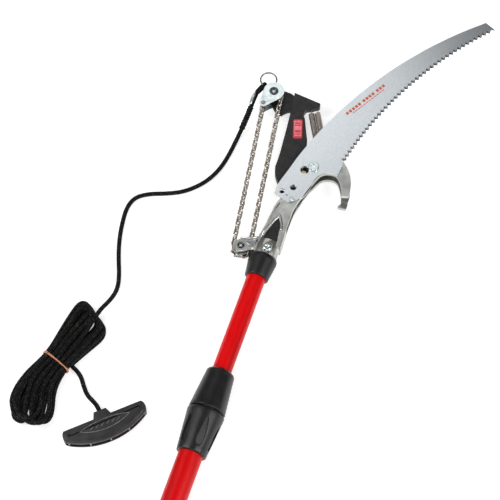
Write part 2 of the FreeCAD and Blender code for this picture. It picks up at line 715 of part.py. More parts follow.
def rope_ring():
    ring = primitive("Torus", "rope_ring", Radius1="dims.ring_radius",
                     Radius2="dims.ring_wire / 2")
    ring.Placement = place(RING_CENTRE[0], RING_CENTRE[1])
    ring.Label = "rope_ring"
    NODES.append(ring)


def rope_clip():
    """Two lobes of bound cord, from the ring to the cord's end."""
    start = dim("ring_radius") + dim("ring_wire") / 2 + 0.3
    spot = [RING_CENTRE[k] + CLIP_WAY[k] * start for k in (0, 1)]
    middle = CLIP_LENGTH / 2
    profile = [(0, 0), (3, 0), (4.4, 1.6), (4.4, middle - 2), (3.4, middle),
               (4.4, middle + 2), (4.4, CLIP_LENGTH - 2), (3, CLIP_LENGTH), (0, CLIP_LENGTH)]
    turned("rope_clip", profile, spot[0], spot[1], 0, Turn(V(0, 0, 1), V(*CLIP_WAY, 0)))


def cord_hank():
    """Folded cord as one closed solid, with its cord ends' faces on it."""
    body = new_body("cord_hank", 0, 0, -dim("axis_height"))
    sketch = new_sketch(body, "XY_Plane")
    draw(sketch, HANK)
    extrude(body, sketch, "Pad", "dims.hank_height")


def hank_tie():
    """Elastic band round the hank's waist."""
    across = V(-210.2 + 248.6, -217.2 + 202.2, 0)
    turn = Turn(V(0, 0, 1), math.degrees(math.atan2(across.y, across.x)))
    body = new_body("hank_tie", -230.2, -209.5, 0.0, turn)
    sketch = new_sketch(body, "XY_Plane", "dims.hank_height - dims.axis_height")
    draw(sketch, [(-20, -2.5), (19, -2.5), (19, 2.5), (-20, 2.5)])
    extrude(body, sketch, "Pad", "1.5")


HANDLE = [
    (-58, 0), (-13, 0), (-8, 9.5), (8, 9.5), (13, 0), (58, 0), (60, -15, 61.5, -7),
    (-60, -15, 0, -33.5), (-58, 0, -61.5, -7),
]


def t_handle():
    body = new_body("t_handle", -137.2, -267.2, -dim("axis_height"),
                    Turn(V(0, 0, 1), 42.2))
    sketch = new_sketch(body, "XY_Plane")
    draw(sketch, HANDLE)
    extrude(body, sketch, "Pad", "dims.handle_thickness")
    sketch = new_sketch(body, "XY_Plane", "dims.handle_thickness")
    draw(sketch, [(-48, -8), (48, -8, 0, -2.5), (-48, -8, 0, -24)])
    extrude(body, sketch, "Pocket", "1")


# ---------------------------------------------------------------- build and export

pole_tubes()
butt_cap()
collar_base()
collar_nut()
lock_collet()
pole_guide()
boot()
head_casting()
head_fittings()
pivot_nut()
spring_pins()
hollow_axle("bracket_rivet", LOWER_AXLE, -12.0, 12.0, 5.6, 2.5)
sheave("lower_sheave", LOWER_AXLE)
saw_blade()
pull_lever()
pruning_blade()
blade_rivets()
lever_label()
spring("return_spring_left", (-8, 283), (18.5, 231.5), (-10.2, 288.0), (21.2, 225.6))
spring("return_spring_right", (0.4, 287.3), (27.4, 234.8), (-2.6, 292.6), (30.6, 228.3))
travelling_block()
sheave("upper_sheave", BLOCK_AXLE)
chain()
rope_ring()
rope_clip()
cord_tube("pull_cord", CORD_ROUTE)
cord_hank()
hank_tie()
cord_tube("cord_tail", TAIL_ROUTE)
t_handle()

doc.recompute()
os.makedirs("parts", exist_ok=True)
broken = [item.Name for item in doc.Objects
          if "Invalid" in item.State or "Error" in item.State]
if broken:
    raise RuntimeError("not recomputed: %s" % broken)
for node in NODES:
    if node.Shape.isNull() or not node.Shape.isValid():
        raise RuntimeError("bad shape: %s" % node.Label)
    node.Shape.exportStep("parts/%s.step" % node.Label)
    box = node.Shape.BoundBox
    print("%-20s solids %2d volume %9.1f box %7.1f %7.1f  %8.1f %8.1f  %6.1f %6.1f" % (
        node.Label, len(node.Shape.Solids), node.Shape.Volume, box.XMin, box.XMax,
        box.YMin, box.YMax, box.ZMin, box.ZMax))
print("nodes", len(NODES))
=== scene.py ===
import json
import math
import random

import bmesh
import bpy
import numpy as np
from mathutils import Matrix, Quaternion, Vector


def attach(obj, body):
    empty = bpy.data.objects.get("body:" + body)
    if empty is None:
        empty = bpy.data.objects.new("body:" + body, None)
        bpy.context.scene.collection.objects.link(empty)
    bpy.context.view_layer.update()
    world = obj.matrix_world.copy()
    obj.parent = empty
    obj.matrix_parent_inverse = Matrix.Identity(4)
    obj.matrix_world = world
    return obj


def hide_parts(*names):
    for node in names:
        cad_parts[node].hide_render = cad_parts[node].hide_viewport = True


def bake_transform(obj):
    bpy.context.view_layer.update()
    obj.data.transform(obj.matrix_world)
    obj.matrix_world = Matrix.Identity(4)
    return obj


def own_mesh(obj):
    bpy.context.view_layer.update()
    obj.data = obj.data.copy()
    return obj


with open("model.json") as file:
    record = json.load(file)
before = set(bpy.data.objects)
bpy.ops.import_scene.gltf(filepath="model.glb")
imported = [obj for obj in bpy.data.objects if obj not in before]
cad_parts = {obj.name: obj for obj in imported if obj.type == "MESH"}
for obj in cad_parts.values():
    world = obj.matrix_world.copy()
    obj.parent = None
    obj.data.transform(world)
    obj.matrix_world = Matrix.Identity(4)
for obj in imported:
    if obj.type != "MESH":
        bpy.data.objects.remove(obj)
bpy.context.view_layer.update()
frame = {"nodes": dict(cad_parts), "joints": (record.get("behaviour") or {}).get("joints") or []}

MM = 0.001
SAME_SPOT = 1e-6
PIVOT = Vector((25.0, 190.0, 0.0))    # the lever's pivot, in head coordinates


def joint(name):
    return [j for j in frame["joints"] if j["name"] == name][0]


# Head coordinates, in millimetres, are measured from the boot's lower edge on the pole's axis.
HEAD = Vector(joint("lever_pull")["pos_m"]) / MM - PIVOT


def at(x, y, z=0.0):
    """A point in head coordinates, as metres in the row frame."""
    return (HEAD + Vector((x, y, z))) * MM


# ---------------------------------------------------------------- materials

PAINTS = {}


def grey(value):
    return (value, value, value)


def set_stops(ramp, stops):
    """Give a colour ramp its stops, each a position and a colour."""
    while len(ramp.elements) < len(stops):
        ramp.elements.new(0.5)
    for element, (spot, colour) in zip(ramp.elements, stops):
        element.position = spot
        element.color = (*colour, 1.0)


class Paint:
    """A principled material, with noise for colour, roughness and relief."""

    def __init__(self, key, name, colour, rough, metal=0.0, coat=0.0, specular=0.5):
        self.made = bpy.data.materials.new(name)
        PAINTS[key] = self.made
        self.made.use_nodes = True
        self.tree = self.made.node_tree
        self.shader = self.tree.nodes["Principled BSDF"]
        self.shader.inputs["Base Color"].default_value = (*colour, 1.0)
        self.shader.inputs["Roughness"].default_value = rough
        self.shader.inputs["Metallic"].default_value = metal
        self.shader.inputs["Coat Weight"].default_value = coat
        self.shader.inputs["Coat Roughness"].default_value = 0.08
        self.shader.inputs["Specular IOR Level"].default_value = specular
        self.last_bump = None

    def node(self, kind, **values):
        made = self.tree.nodes.new(kind)
        for key, value in values.items():
            setattr(made, key, value)
        return made

    def link(self, a, out, b, into):
        self.tree.links.new(a.outputs[out], b.inputs[into])

    def sum(self, operation, *feeds):
        """Math node, and its output. A feed is a number, or a node and its output."""
        made = self.node("ShaderNodeMath", operation=operation)
        for k, feed in enumerate(feeds):
            if isinstance(feed, tuple):
                self.link(*feed, made, k)
            else:
                made.inputs[k].default_value = feed
        return made, "Value"

    def place(self, stretch=(1, 1, 1), turn=(0, 0, 0), space="Object"):
        where = self.node("ShaderNodeTexCoord")
        mapping = self.node("ShaderNodeMapping")
        mapping.inputs["Scale"].default_value = stretch
        mapping.inputs["Rotation"].default_value = turn
        self.link(where, space, mapping, "Vector")
        return mapping

    def noise(self, scale, detail=4.0, stretch=(1, 1, 1), turn=(0, 0, 0)):
        mapping = self.place(stretch, turn)
        made = self.node("ShaderNodeTexNoise")
        made.inputs["Scale"].default_value = scale
        made.inputs["Detail"].default_value = detail
        self.link(mapping, "Vector", made, "Vector")
        return made

    def ramp(self, source, out, stops):
        made = self.node("ShaderNodeValToRGB")
        set_stops(made.color_ramp, stops)
        self.link(source, out, made, "Fac")
        return made

    def mottle(self, scale, low, high, span=(0.35, 0.65), **more):
        """Colour that drifts between two shades."""
        made = self.ramp(self.noise(scale, **more), "Fac", [(span[0], low), (span[1], high)])
        self.link(made, "Color", self.shader, "Base Color")
        return self

    def rough(self, scale, low, high, **more):
        made = self.node("ShaderNodeMapRange")
        made.inputs["From Min"].default_value = 0.3
        made.inputs["From Max"].default_value = 0.7
        made.inputs["To Min"].default_value = low
        made.inputs["To Max"].default_value = high
        self.link(self.noise(scale, **more), "Fac", made, "Value")
        self.link(made, "Result", self.shader, "Roughness")
        return self

    def relief(self, source, out, strength, depth):
        made = self.node("ShaderNodeBump")
        made.inputs["Strength"].default_value = strength
        made.inputs["Distance"].default_value = depth
        self.link(source, out, made, "Height")
        if self.last_bump:
            self.link(self.last_bump, "Normal", made, "Normal")
        self.link(made, "Normal", self.shader, "Normal")
        self.last_bump = made
        return self

    def grain(self, scale, strength, depth=0.0002, **more):
        return self.relief(self.noise(scale, **more), "Fac", strength, depth)


def braid(paint, along, around, depth):
    """Crossed strands on a cord whose u runs along it, in millimetres, and v round it."""
    split = paint.node("ShaderNodeSeparateXYZ")
    paint.link(paint.node("ShaderNodeTexCoord"), "UV", split, "Vector")
    waves = []
    for way in (1.0, -1.0):
        u = paint.sum("MULTIPLY", (split, "X"), along)
        v = paint.sum("MULTIPLY", (split, "Y"), around * way * math.tau)
        waves.append(paint.sum("SINE", paint.sum("ADD", u, v)))
    both = paint.sum("MULTIPLY", *waves)
    paint.relief(*both, 1.0, depth)
    return both


def plastic_paints():
    """Fibreglass, moulded plastics and rubber."""
    red = Paint("red", "red_fibreglass", (0.66, 0.001, 0.003), 0.3, coat=0.06, specular=0.2)
    red.mottle(90, (0.56, 0.0, 0.001), (0.80, 0.001, 0.003), stretch=(1, 0.05, 1))
    red.rough(300, 0.26, 0.42, stretch=(1, 0.1, 1))
    red.grain(900, 0.25, 0.00005, stretch=(1, 0.04, 1))

    black = Paint("black", "moulded_black", grey(0.008), 0.3, specular=0.45)
    black.mottle(60, grey(0.005), grey(0.011))
    black.rough(500, 0.28, 0.44)
    black.grain(2600, 0.3, 0.00006, detail=2)

    boot = Paint("rubber", "boot_rubber", grey(0.009), 0.35, specular=0.45)
    boot.mottle(40, grey(0.005), (0.012, 0.011, 0.011))
    boot.rough(350, 0.3, 0.48, stretch=(1, 3, 1))
    boot.grain(3000, 0.25, 0.00005)

    insert = Paint("insert", "insert_black", (0.010, 0.010, 0.011), 0.6)
    insert.mottle(300, grey(0.006), (0.02, 0.02, 0.021))
    insert.grain(1500, 0.9, 0.0003)

    white = Paint("white", "white_nylon", (0.75, 0.75, 0.72), 0.5)
    white.mottle(80, (0.7, 0.7, 0.67), (0.8, 0.8, 0.77))
    white.grain(900, 0.2)


def casting_paints():
    """The casting's rough face, a lighter copy of it as painted highlight on its rounded edges, and a
    darker copy as painted shade for its sunk panels.
    """
    cast = Paint("cast", "die_cast_alloy", (0.5, 0.5, 0.48), 0.25, metal=1.0)
    cast.mottle(45, (0.40, 0.41, 0.39), (0.60, 0.60, 0.57), detail=3)
    cast.rough(120, 0.26, 0.38)
    cast.grain(90, 0.1, 0.00006, detail=1)

    # Lighter copy of the alloy: painted highlight for the raised lips and frames.
    edge = Paint("edge", "casting_edge_painted_highlight", (0.8, 0.8, 0.77), 0.3, metal=1.0)
    edge.mottle(60, (0.72, 0.72, 0.69), (0.88, 0.88, 0.85), detail=3)
    edge.grain(90, 0.1, 0.00006, detail=1)

    # Darker copy of the alloy: painted shade standing for the ears' sunk panels, which are not cut.
    sunk = Paint("sunk", "casting_panel_painted_shade", (0.36, 0.38, 0.4), 0.4, metal=1.0)
    sunk.mottle(120, (0.28, 0.30, 0.32), (0.46, 0.48, 0.51), detail=3)
    sunk.grain(300, 0.1, 0.00004, detail=1)


def plate_paints():
    """Plated and ground steel: rivets, screws, block and blades, with darker copies as painted shade.
    """
    # Dark steel: painted shade for the hollow rivets' recesses and for the upper sheave in the gap
    # between the block's plates.
    dark = Paint("dark", "dark_steel_painted_shade", (0.08, 0.09, 0.1), 0.25, metal=1.0)
    dark.mottle(200, (0.05, 0.055, 0.065), (0.14, 0.15, 0.17), detail=3)
    dark.grain(1500, 0.1, 0.00002)

    zinc = Paint("zinc", "bright_zinc", (0.8, 0.86, 0.85), 0.25, metal=1.0)
    zinc.mottle(150, (0.64, 0.73, 0.73), (0.80, 0.88, 0.87), detail=2)
    zinc.rough(200, 0.24, 0.36, detail=2)
    zinc.grain(300, 0.05, 0.00001, detail=1)

    steel = Paint("steel", "ground_blade_steel", (0.68, 0.72, 0.75), 0.3, metal=1.0)
    steel.mottle(500, (0.66, 0.70, 0.73), (0.72, 0.76, 0.79), stretch=(1, 0.5, 1), detail=2)
    steel.rough(400, 0.28, 0.33, stretch=(1, 0.5, 1), detail=2)
    steel.grain(1500, 0.05, 0.00001, detail=1)

    # Darker copy of the blade steel: painted shade on each tooth's heel-side flank, which faces away
    # from the light.
    ground = Paint("ground", "tooth_flank_painted_shade", (0.1, 0.11, 0.12), 0.3, metal=1.0)
    ground.mottle(900, (0.05, 0.055, 0.06), (0.12, 0.125, 0.13))
    ground.grain(2600, 0.1, 0.00002)


def wire_paints():
    """Chain, springs and ring."""
    chain = Paint("chain", "nickel_chain", (0.42, 0.38, 0.34), 0.26, metal=1.0)
    chain.mottle(130, (0.40, 0.36, 0.32), (0.78, 0.72, 0.67), detail=4)
    chain.rough(400, 0.16, 0.32)
    chain.grain(1500, 0.2, 0.00006)

    spring = Paint("spring", "oiled_spring_steel", (0.42, 0.36, 0.31), 0.3, metal=1.0)
    spring.mottle(150, (0.38, 0.33, 0.29), (0.52, 0.47, 0.42), detail=2)
    spring.rough(300, 0.26, 0.36, detail=2)
    spring.grain(1500, 0.05, 0.00001, detail=1)

    dull = Paint("dull", "dull_ring_steel", grey(0.2), 0.3, metal=1.0)
    dull.mottle(150, grey(0.20), (0.34, 0.34, 0.33), detail=2)
    dull.grain(1500, 0.1, 0.00002)


def lever_paints():
    """Painted lever with its label, and the blade's printing."""
    lever = Paint("lever", "lever_black_paint", (0.016, 0.018, 0.017), 0.48, specular=0.35)
    lever.mottle(120, (0.016, 0.017, 0.016), (0.028, 0.029, 0.028), detail=3)
    lever.rough(400, 0.4, 0.55)
    lever.grain(1400, 0.2, 0.00004, detail=2)

    label = Paint("label", "label_red", (0.5, 0.03, 0.04), 0.4)
    label.mottle(250, (0.42, 0.02, 0.03), (0.62, 0.05, 0.06))
    label.grain(900, 0.1)

    pale = Paint("pale", "label_pale_red", (0.86, 0.14, 0.17), 0.4)
    pale.mottle(400, (0.84, 0.09, 0.12), (0.95, 0.30, 0.34), detail=6)
    pale.grain(900, 0.1)

    orange = Paint("orange", "blade_mark_orange", (0.66, 0.11, 0.05), 0.5)
    orange.mottle(500, (0.56, 0.09, 0.04), (0.74, 0.17, 0.09))
    orange.grain(2000, 0.1, 0.00003)


def warm_paints():
    """Brass rivets and the copper-coloured band."""
    brass = Paint("brass", "rivet_brass", (0.72, 0.6, 0.36), 0.3, metal=1.0)
    brass.mottle(300, (0.62, 0.5, 0.28), (0.85, 0.74, 0.5))
    brass.rough(500, 0.25, 0.4)
    brass.grain(1500, 0.2, 0.00006)

    copper = Paint("copper", "copper_band", (0.62, 0.2, 0.07), 0.35, coat=0.3)
    copper.mottle(700, (0.40, 0.09, 0.03), (0.88, 0.42, 0.22), detail=2)
    copper.grain(1600, 0.5, 0.0002)


def cord_paint():
    """Black braid, painted darker in the crevices between strands as painted shade and paler on the
    raised strands as painted highlight, with paler flecks.
    """
    cord = Paint("cord", "black_braided_cord", grey(0.012), 0.75, specular=0.2)
    pattern = braid(cord, math.tau / 5.2, 3, 0.0009)
    # Colour follows the braid's height: painted shade in the crevices, painted highlight on the
    # raised strands.
    shade = cord.ramp(*pattern, [(0.0, grey(0.001)), (0.5, grey(0.004)),
                                 (0.95, (0.035, 0.034, 0.032))])
    flecks = cord.ramp(cord.noise(520, detail=3), "Fac", [(0.56, grey(0)), (0.68, grey(1))])
    mixed = cord.node("ShaderNodeMix", data_type="RGBA")
    cord.link(flecks, "Color", mixed, "Factor")
    cord.tree.links.new(shade.outputs["Color"], mixed.inputs["A"])
    mixed.inputs["B"].default_value = (0.07, 0.068, 0.064, 1.0)
    cord.tree.links.new(mixed.outputs["Result"], cord.shader.inputs["Base Color"])
    cord.grain(3500, 0.6, 0.0002)


def handle_paints():
    """The handle's body, its paler lips, part wear and part painted highlight, and its pockets
    painted darker as painted shade.
    """
    # Paler grey for the lips and bars: part rubbed wear, part painted highlight.
    rim = Paint("rim", "handle_lip_wear_and_highlight", grey(0.2), 0.35, specular=0.5)
    rim.mottle(300, grey(0.10), (0.30, 0.30, 0.29), detail=5)
    rim.grain(1500, 0.3, 0.0001)

    # Near-black: painted shade for the handle's pockets and for the saw's low hole.
    pit = Paint("pit", "pocket_painted_shade", grey(0.006), 0.6, specular=0.2)
    pit.mottle(200, grey(0.004), grey(0.010))
    pit.grain(1500, 0.3, 0.0001)

    grip = Paint("grip", "handle_plastic", grey(0.026), 0.42, specular=0.4)
    grip.mottle(90, grey(0.020), grey(0.036), detail=5)
    grip.rough(500, 0.32, 0.5)
    grip.grain(2200, 0.4, 0.0001)


plastic_paints()
casting_paints()
plate_paints()
wire_paints()
lever_paints()
warm_paints()
cord_paint()
handle_paints()


def wear(obj, name):
    """Paint the whole piece. Clearing an empty list would reset its faces' own numbers."""
    if obj.data.materials:
        obj.data.materials.clear()
    obj.data.materials.append(PAINTS[name])
    return obj


# ---------------------------------------------------------------- mesh helpers

def new_object(name, mesh):
    obj = bpy.data.objects.new(name, mesh)
    bpy.context.scene.collection.objects.link(obj)
    return obj


def built(name, bm):
    """The object that a finished bmesh makes, its faces turned outwards."""
    bmesh.ops.recalc_face_normals(bm, faces=bm.faces)
    mesh = bpy.data.meshes.new(name)
    bm.to_mesh(mesh)
    bm.free()
    return new_object(name, mesh)


def smooth(obj, angle=40.0):
    """Smooth shading, with sharp edges where faces meet at more than angle degrees."""
    for polygon in obj.data.polygons:
        polygon.use_smooth = True
    obj.data.set_sharp_from_angle(angle=math.radians(angle))
    return obj


def sweep(name, points, radius, sides=12, closed=False):
    """Round tube along points given in metres. radius is a number or one for each point."""
    spots = [Vector(p) for p in points]
    radii = radius if isinstance(radius, (list, tuple)) else [radius] * len(spots)
    bm = bmesh.new()
    uv = bm.loops.layers.uv.new("UVMap")
    count = len(spots)
    normal = None
    rings = []
    run = 0.0
    runs = []
    for k, spot in enumerate(spots):
        before = spots[k - 1] if k or closed else spots[0]
        after = spots[(k + 1) % count] if k < count - 1 or closed else spots[-1]
        way = (after - before).normalized()
        if normal is None:
            side = Vector((0, 0, 1)) if abs(way.z) < 0.9 else Vector((1, 0, 0))
            normal = way.cross(side).cross(way).normalized()
        normal = (normal - way * normal.dot(way)).normalized()
        other = way.cross(normal)
        if k:
            run += (spot - spots[k - 1]).length / MM
        runs.append(run)
        ring = []
        for s in range(sides):
            angle = math.tau * s / sides
            ring.append(bm.verts.new(spot + (normal * math.cos(angle)
                                             + other * math.sin(angle)) * radii[k]))
        rings.append(ring)
    pairs = list(zip(range(count - 1), range(1, count)))
    if closed:
        pairs.append((count - 1, 0))
    for a, b in pairs:
        for s in range(sides):
            t = (s + 1) % sides
            face = bm.faces.new((rings[a][s], rings[a][t], rings[b][t], rings[b][s]))
            far = runs[b] if b else run + 1.0
            corners = ((runs[a], s), (runs[a], s + 1), (far, s + 1), (far, s))
            for loop, (u, v) in zip(face.loops, corners):
                loop[uv].uv = (u, v / sides)
            face.smooth = True
    if not closed:
        bm.faces.new(list(reversed(rings[0])))
        bm.faces.new(rings[-1])
    return built(name, bm)


def lathe(name, profile, centre, axis="Z", steps=64):
    """Turned mesh. profile is (radius, height) in mm; the axis is the row's Z or Y."""
    bm = bmesh.new()
    rings = []
    for radius, height in profile:
        ring = []
        for s in range(steps if radius > 0 else 1):
            angle = math.tau * s / steps
            x, y = radius * math.cos(angle), radius * math.sin(angle)
            local = Vector((x, y, height)) if axis == "Z" else Vector((x, height, -y))
            ring.append(bm.verts.new(at(*(Vector(centre) + local))))
        rings.append(ring)
    for low, high in zip(rings, rings[1:]):
        for s in range(steps):
            t = (s + 1) % steps
            corners = [low[s % len(low)], low[t % len(low)], high[t % len(high)], high[s % len(high)]]
            corners = list(dict.fromkeys(corners))
            if len(corners) > 2:
                bm.faces.new(corners)
    return built(name, bm)


def arc(a, middle, b, steps=12):
    """Points after a, up to b, on the circle through three points."""
    (ax, ay), (mx, my), (bx, by) = a, middle, b
    d = 2 * (ax * (my - by) + mx * (by - ay) + bx * (ay - my))
    ux = ((ax * ax + ay * ay) * (my - by) + (mx * mx + my * my) * (by - ay)
          + (bx * bx + by * by) * (ay - my)) / d
    uy = ((ax * ax + ay * ay) * (bx - mx) + (mx * mx + my * my) * (ax - bx)
          + (bx * bx + by * by) * (mx - ax)) / d
    radius = math.hypot(ax - ux, ay - uy)
    start, mid, end = (math.atan2(y - uy, x - ux) for x, y in (a, middle, b))
    turn = (end - start) % math.tau
    if (mid - start) % math.tau > turn:
        turn -= math.tau
    return [(ux + radius * math.cos(start + turn * k / steps),
             uy + radius * math.sin(start + turn * k / steps)) for k in range(1, steps + 1)]


def outline(corners, steps=12):
    """Closed outline of (x, y) and (x, y, mid_x, mid_y) corners, as in the CAD's sketches."""
    points = []
    start = corners[-1][:2]
    for corner in corners:
        if len(corner) == 4:
            points += arc(start, corner[2:], corner[:2], steps)
        else:
            points.append(corner)
        start = corner[:2]
    return points


def ring(x, y, radius, steps=40):
    """Outline of a round hole."""
    return [(x + radius * math.cos(math.tau * k / steps), y + radius * math.sin(math.tau * k / steps))
            for k in range(steps)]


def flat(name, loops, low, high, edge=0.15, steps=2):
    """Plate between two heights, from closed outlines in mm, its rims rounded by edge."""
    curve = bpy.data.curves.new(name, "CURVE")
    curve.dimensions = "2D"
    curve.fill_mode = "BOTH"
    for loop in loops:
        spline = curve.splines.new("POLY")
        spline.points.add(len(loop) - 1)
        for point, (x, y) in zip(spline.points, loop):
            point.co = (*(at(x, y).xy), 0.0, 1.0)
        spline.use_cyclic_u = True
    curve.extrude = ((high - low) / 2 - edge) * MM
    curve.bevel_depth = edge * MM
    curve.bevel_resolution = steps
    curve.offset = -edge * MM
    obj = new_object(name, curve)
    obj.location.z = at(0, 0, (low + high) / 2).z
    bpy.context.view_layer.update()
    mesh = bpy.data.meshes.new_from_object(obj)
    mesh.transform(obj.matrix_world)
    bpy.data.objects.remove(obj)
    made = new_object(name, mesh)
    bm = bmesh.new()
    bm.from_mesh(mesh)
    bmesh.ops.remove_doubles(bm, verts=bm.verts, dist=SAME_SPOT)
    bmesh.ops.recalc_face_normals(bm, faces=bm.faces)
    bm.to_mesh(mesh)
    bm.free()
    smooth(made, 35)
    for face in made.data.polygons:
        if abs(face.normal.z) > 0.99:
            face.use_smooth = False
    return made


# ---------------------------------------------------------------- CAD nodes that stay

CAD_PAINTS = {
    "outer_pole_tube": "red", "inner_pole_tube": "red", "butt_cap": "rubber",
    "collar_base": "black", "collar_nut": "black", "lock_collet": "white",
    "inner_pole_guide": "black", "ferrule_boot": "rubber", "head_casting": "cast",
    "socket_insert": "insert", "socket_screw": "zinc", "pivot_bolt": "zinc",
    "blade_bolt_low": "zinc", "pivot_nut": "zinc", "spring_pins": "zinc",
    # The hollow rivets and the upper sheave wear dark steel: painted shade in the rivets' recesses
    # and in the gap between the block's plates.
    "bracket_rivet": "dark", "pull_lever": "lever", "pruning_blade": "steel",
    "blade_rivets": "brass", "lever_label": "label", "block_plate_front": "zinc",
    "block_plate_back": "zinc", "block_rivet": "dark", "chain_rivet": "dull",
    "upper_sheave": "dark", "lower_sheave": "cast", "chain_lower_wrap": "chain",
    "chain_upper_wrap": "chain", "rope_ring": "dull",
}
EDGES = {
    "butt_cap": 0.8, "collar_base": 0.5, "collar_nut": 0.5, "ferrule_boot": 0.4,
    "socket_screw": 0.3, "pivot_bolt": 0.35, "blade_bolt_low": 0.25, "pivot_nut": 0.4,
    "pull_lever": 0.9, "block_plate_front": 0.35, "block_plate_back": 0.35,
    "block_rivet": 0.35, "chain_rivet": 0.3, "bracket_rivet": 0.3, "lever_label": 0.1,
    "head_casting": 0.8,
}
CHAIN_SWELL = 0.6


def weld(obj):
    """Join the loose edges of an imported node, so that it bevels and swells as one skin."""
    made = obj.modifiers.new("weld", "WELD")
    made.merge_threshold = SAME_SPOT


def dress_cad():
    """Paint the CAD nodes, round their edges and thicken the chain's wire."""
    for node, paint in CAD_PAINTS.items():
        obj = frame["nodes"][node]
        obj.data.materials.clear()
        obj.data.materials.append(PAINTS[paint])
        if node in EDGES:
            weld(obj)
            bevel = obj.modifiers.new("edges", "BEVEL")
            bevel.width = EDGES[node] * MM
            bevel.segments = 3
            bevel.limit_method = "ANGLE"
            bevel.angle_limit = math.radians(32)
            bevel.harden_normals = True
        if paint == "chain":
            weld(obj)
            thick = obj.modifiers.new("thicker wire", "DISPLACE")
            thick.strength = CHAIN_SWELL * MM
            thick.mid_level = 0.0


dress_cad()


# ---------------------------------------------------------------- cord

CORD_RADIUS = 3.3
CORD_LOW = -23.7      # height of the cord's middle line where it lies on the floor
LAYER_RISE = 4.7      # from one layer of the hank to the next, at its waist
END_RISE = 14.5       # from the lowest loop of the hank to the highest
HANK_TOP = -10.0
PASS_END = 2.0        # level at which a pass ends and its loop starts
REACH = (2.8, 3.15)   # levels that the loops' far ends reach
WOBBLE = 0.09         # most that a pass strays sideways, as a share of the width
LIFT = 1.2            # and up or down
# Where the cord's first stretch stops following the ring, and where it lies still.
RUN = [
    (-98.2, 290.2, 0), (-98.8, 278, -1), (-99.4, 264, -4), (-100.6, 249, -10),
    (-103.2, 232, -19), (-105.6, 212, -24), (-107.8, 187, -24), (-113, 160, -24),
    (-126, 133, -24), (-149, 109.5, -24), (-173, 97.5, -24), (-199, 88.5, -24),
    (-217, 76, -24), (-222.5, 57, -24), (-220.5, 34, -24), (-215, 5, -24),
    (-205.5, -24, -24), (-194, -51, -24), (-188, -74, -22), (-190.8, -95.6, -17),
    (-199, -118, -11),
]
TAIL = [
    (-209, -206.5, -22), (-198.6, -210.2, -23.3), (-188.5, -218, -23.8),
    (-179.8, -230.5, -23.5), (-170, -241.5, -21.5), (-158.5, -247.8, -18.8),
    (-150, -253.2, -17.6), (-143.6, -260.2, -17.5),
]
# Left and right edge of the hank at each level, from its lower end to its upper end.
LEVELS = [-3, -2, -1, 0, 1, 2, 3]
LEFT = [(-259, -306), (-270, -279), (-265, -243), (-245, -203), (-239, -155), (-232, -118),
        (-227, -107)]
RIGHT = [(-203, -302), (-206, -281), (-217, -250), (-213, -214), (-196, -179), (-182, -153),
         (-178, -143)]
# Share of the width, from 0 at the left to 1, and layer of each pass through the tie.
PASSES = [
    (0.7, 3), (0.1, 3), (0.5, 3), (0.9, 3), (0.3, 3), (0.8, 2), (0.2, 2), (0.6, 2), (0.0, 2),
    (0.4, 2), (1.0, 2), (0.5, 1), (0.1, 1), (0.7, 1), (0.3, 1), (0.9, 1), (0.4, 0), (0.0, 0),
    (0.8, 0), (0.2, 0), (1.0, 0),
]


def hank_spot(share, level, height):
    """Point of the hank, by its share of the width there, and the level along it."""
    x_left, x_right = (np.interp(level, LEVELS, [p[0] for p in side]) for side in (LEFT, RIGHT))
    y_left, y_right = (np.interp(level, LEVELS, [p[1] for p in side]) for side in (LEFT, RIGHT))
    bulge = 2.0 * math.sin(math.pi * min(1, max(0, share))) * max(0.0, -1.5 - level)
    return (x_left + (x_right - x_left) * share,
            y_left + (y_right - y_left) * share - bulge, height)


def hank_points():
    """Passes up and down through the tie, joined by the end loops."""
    rng = random.Random(11)
    points = []
    last = len(PASSES) - 1
    for k, (column, layer) in enumerate(PASSES):
        waist = CORD_LOW + LAYER_RISE * layer
        end = CORD_LOW + END_RISE * (last - k) / last
        down = k % 2 == 0
        levels = [PASS_END, 1.0, 0, -1.0, -PASS_END]
        if not down:
            levels.reverse()
        if k == 0:
            levels = [1.3, 0.6, 0, -1.0, -PASS_END]
        if k == last:
            levels = [PASS_END, 1.2, 0.5]
        for level in levels:
            share = min(1.0, abs(level) / PASS_END)
            wobble = rng.uniform(-WOBBLE, WOBBLE) * share
            lift = rng.uniform(-LIFT, LIFT) * share
            height = max(CORD_LOW, min(HANK_TOP, waist + (end - waist) * share + lift))
            points.append(hank_spot(min(1, max(0, column + wobble)), level, height))
        if k < last:
            across = PASSES[k + 1][0] - column
            sign = -1 if down else 1
            reach = rng.uniform(*REACH)
            for share, far in ((0.1, 0.75), (0.32, 1.0), (0.68, 1.0), (0.9, 0.75)):
                level = sign * (PASS_END + (reach - PASS_END) * far)
                points.append(hank_spot(column + across * share, level, max(CORD_LOW, end - 0.4)))
    return points


def spline_points(name, control):
    """Points along the cord's NURBS curve through the row frame."""
    curve = bpy.data.curves.new(name, "CURVE")
    curve.dimensions = "3D"
    spline = curve.splines.new("NURBS")
    spline.points.add(len(control) - 1)
    for point, (x, y, z) in zip(spline.points, control):
        point.co = (*at(x, y, z), 1.0)
    spline.order_u = 3
    spline.use_endpoint_u = True
    curve.resolution_u = 10
    obj = new_object(name, curve)
    bpy.context.view_layer.update()
    mesh = bpy.data.meshes.new_from_object(obj)
    found = [v.co.copy() for v in mesh.vertices]
    bpy.data.objects.remove(obj)
    return found


def evenly(points, step):
    """The same line, with points a step apart."""
    total = [0.0]
    for a, b in zip(points, points[1:]):
        total.append(total[-1] + (b - a).length)
    count = max(2, round(total[-1] / step))
    wanted = np.linspace(0, total[-1], count + 1)
    coords = [np.interp(wanted, total, [p[i] for p in points]) for i in range(3)]
    return [Vector(c) for c in zip(*coords)], total[-1]


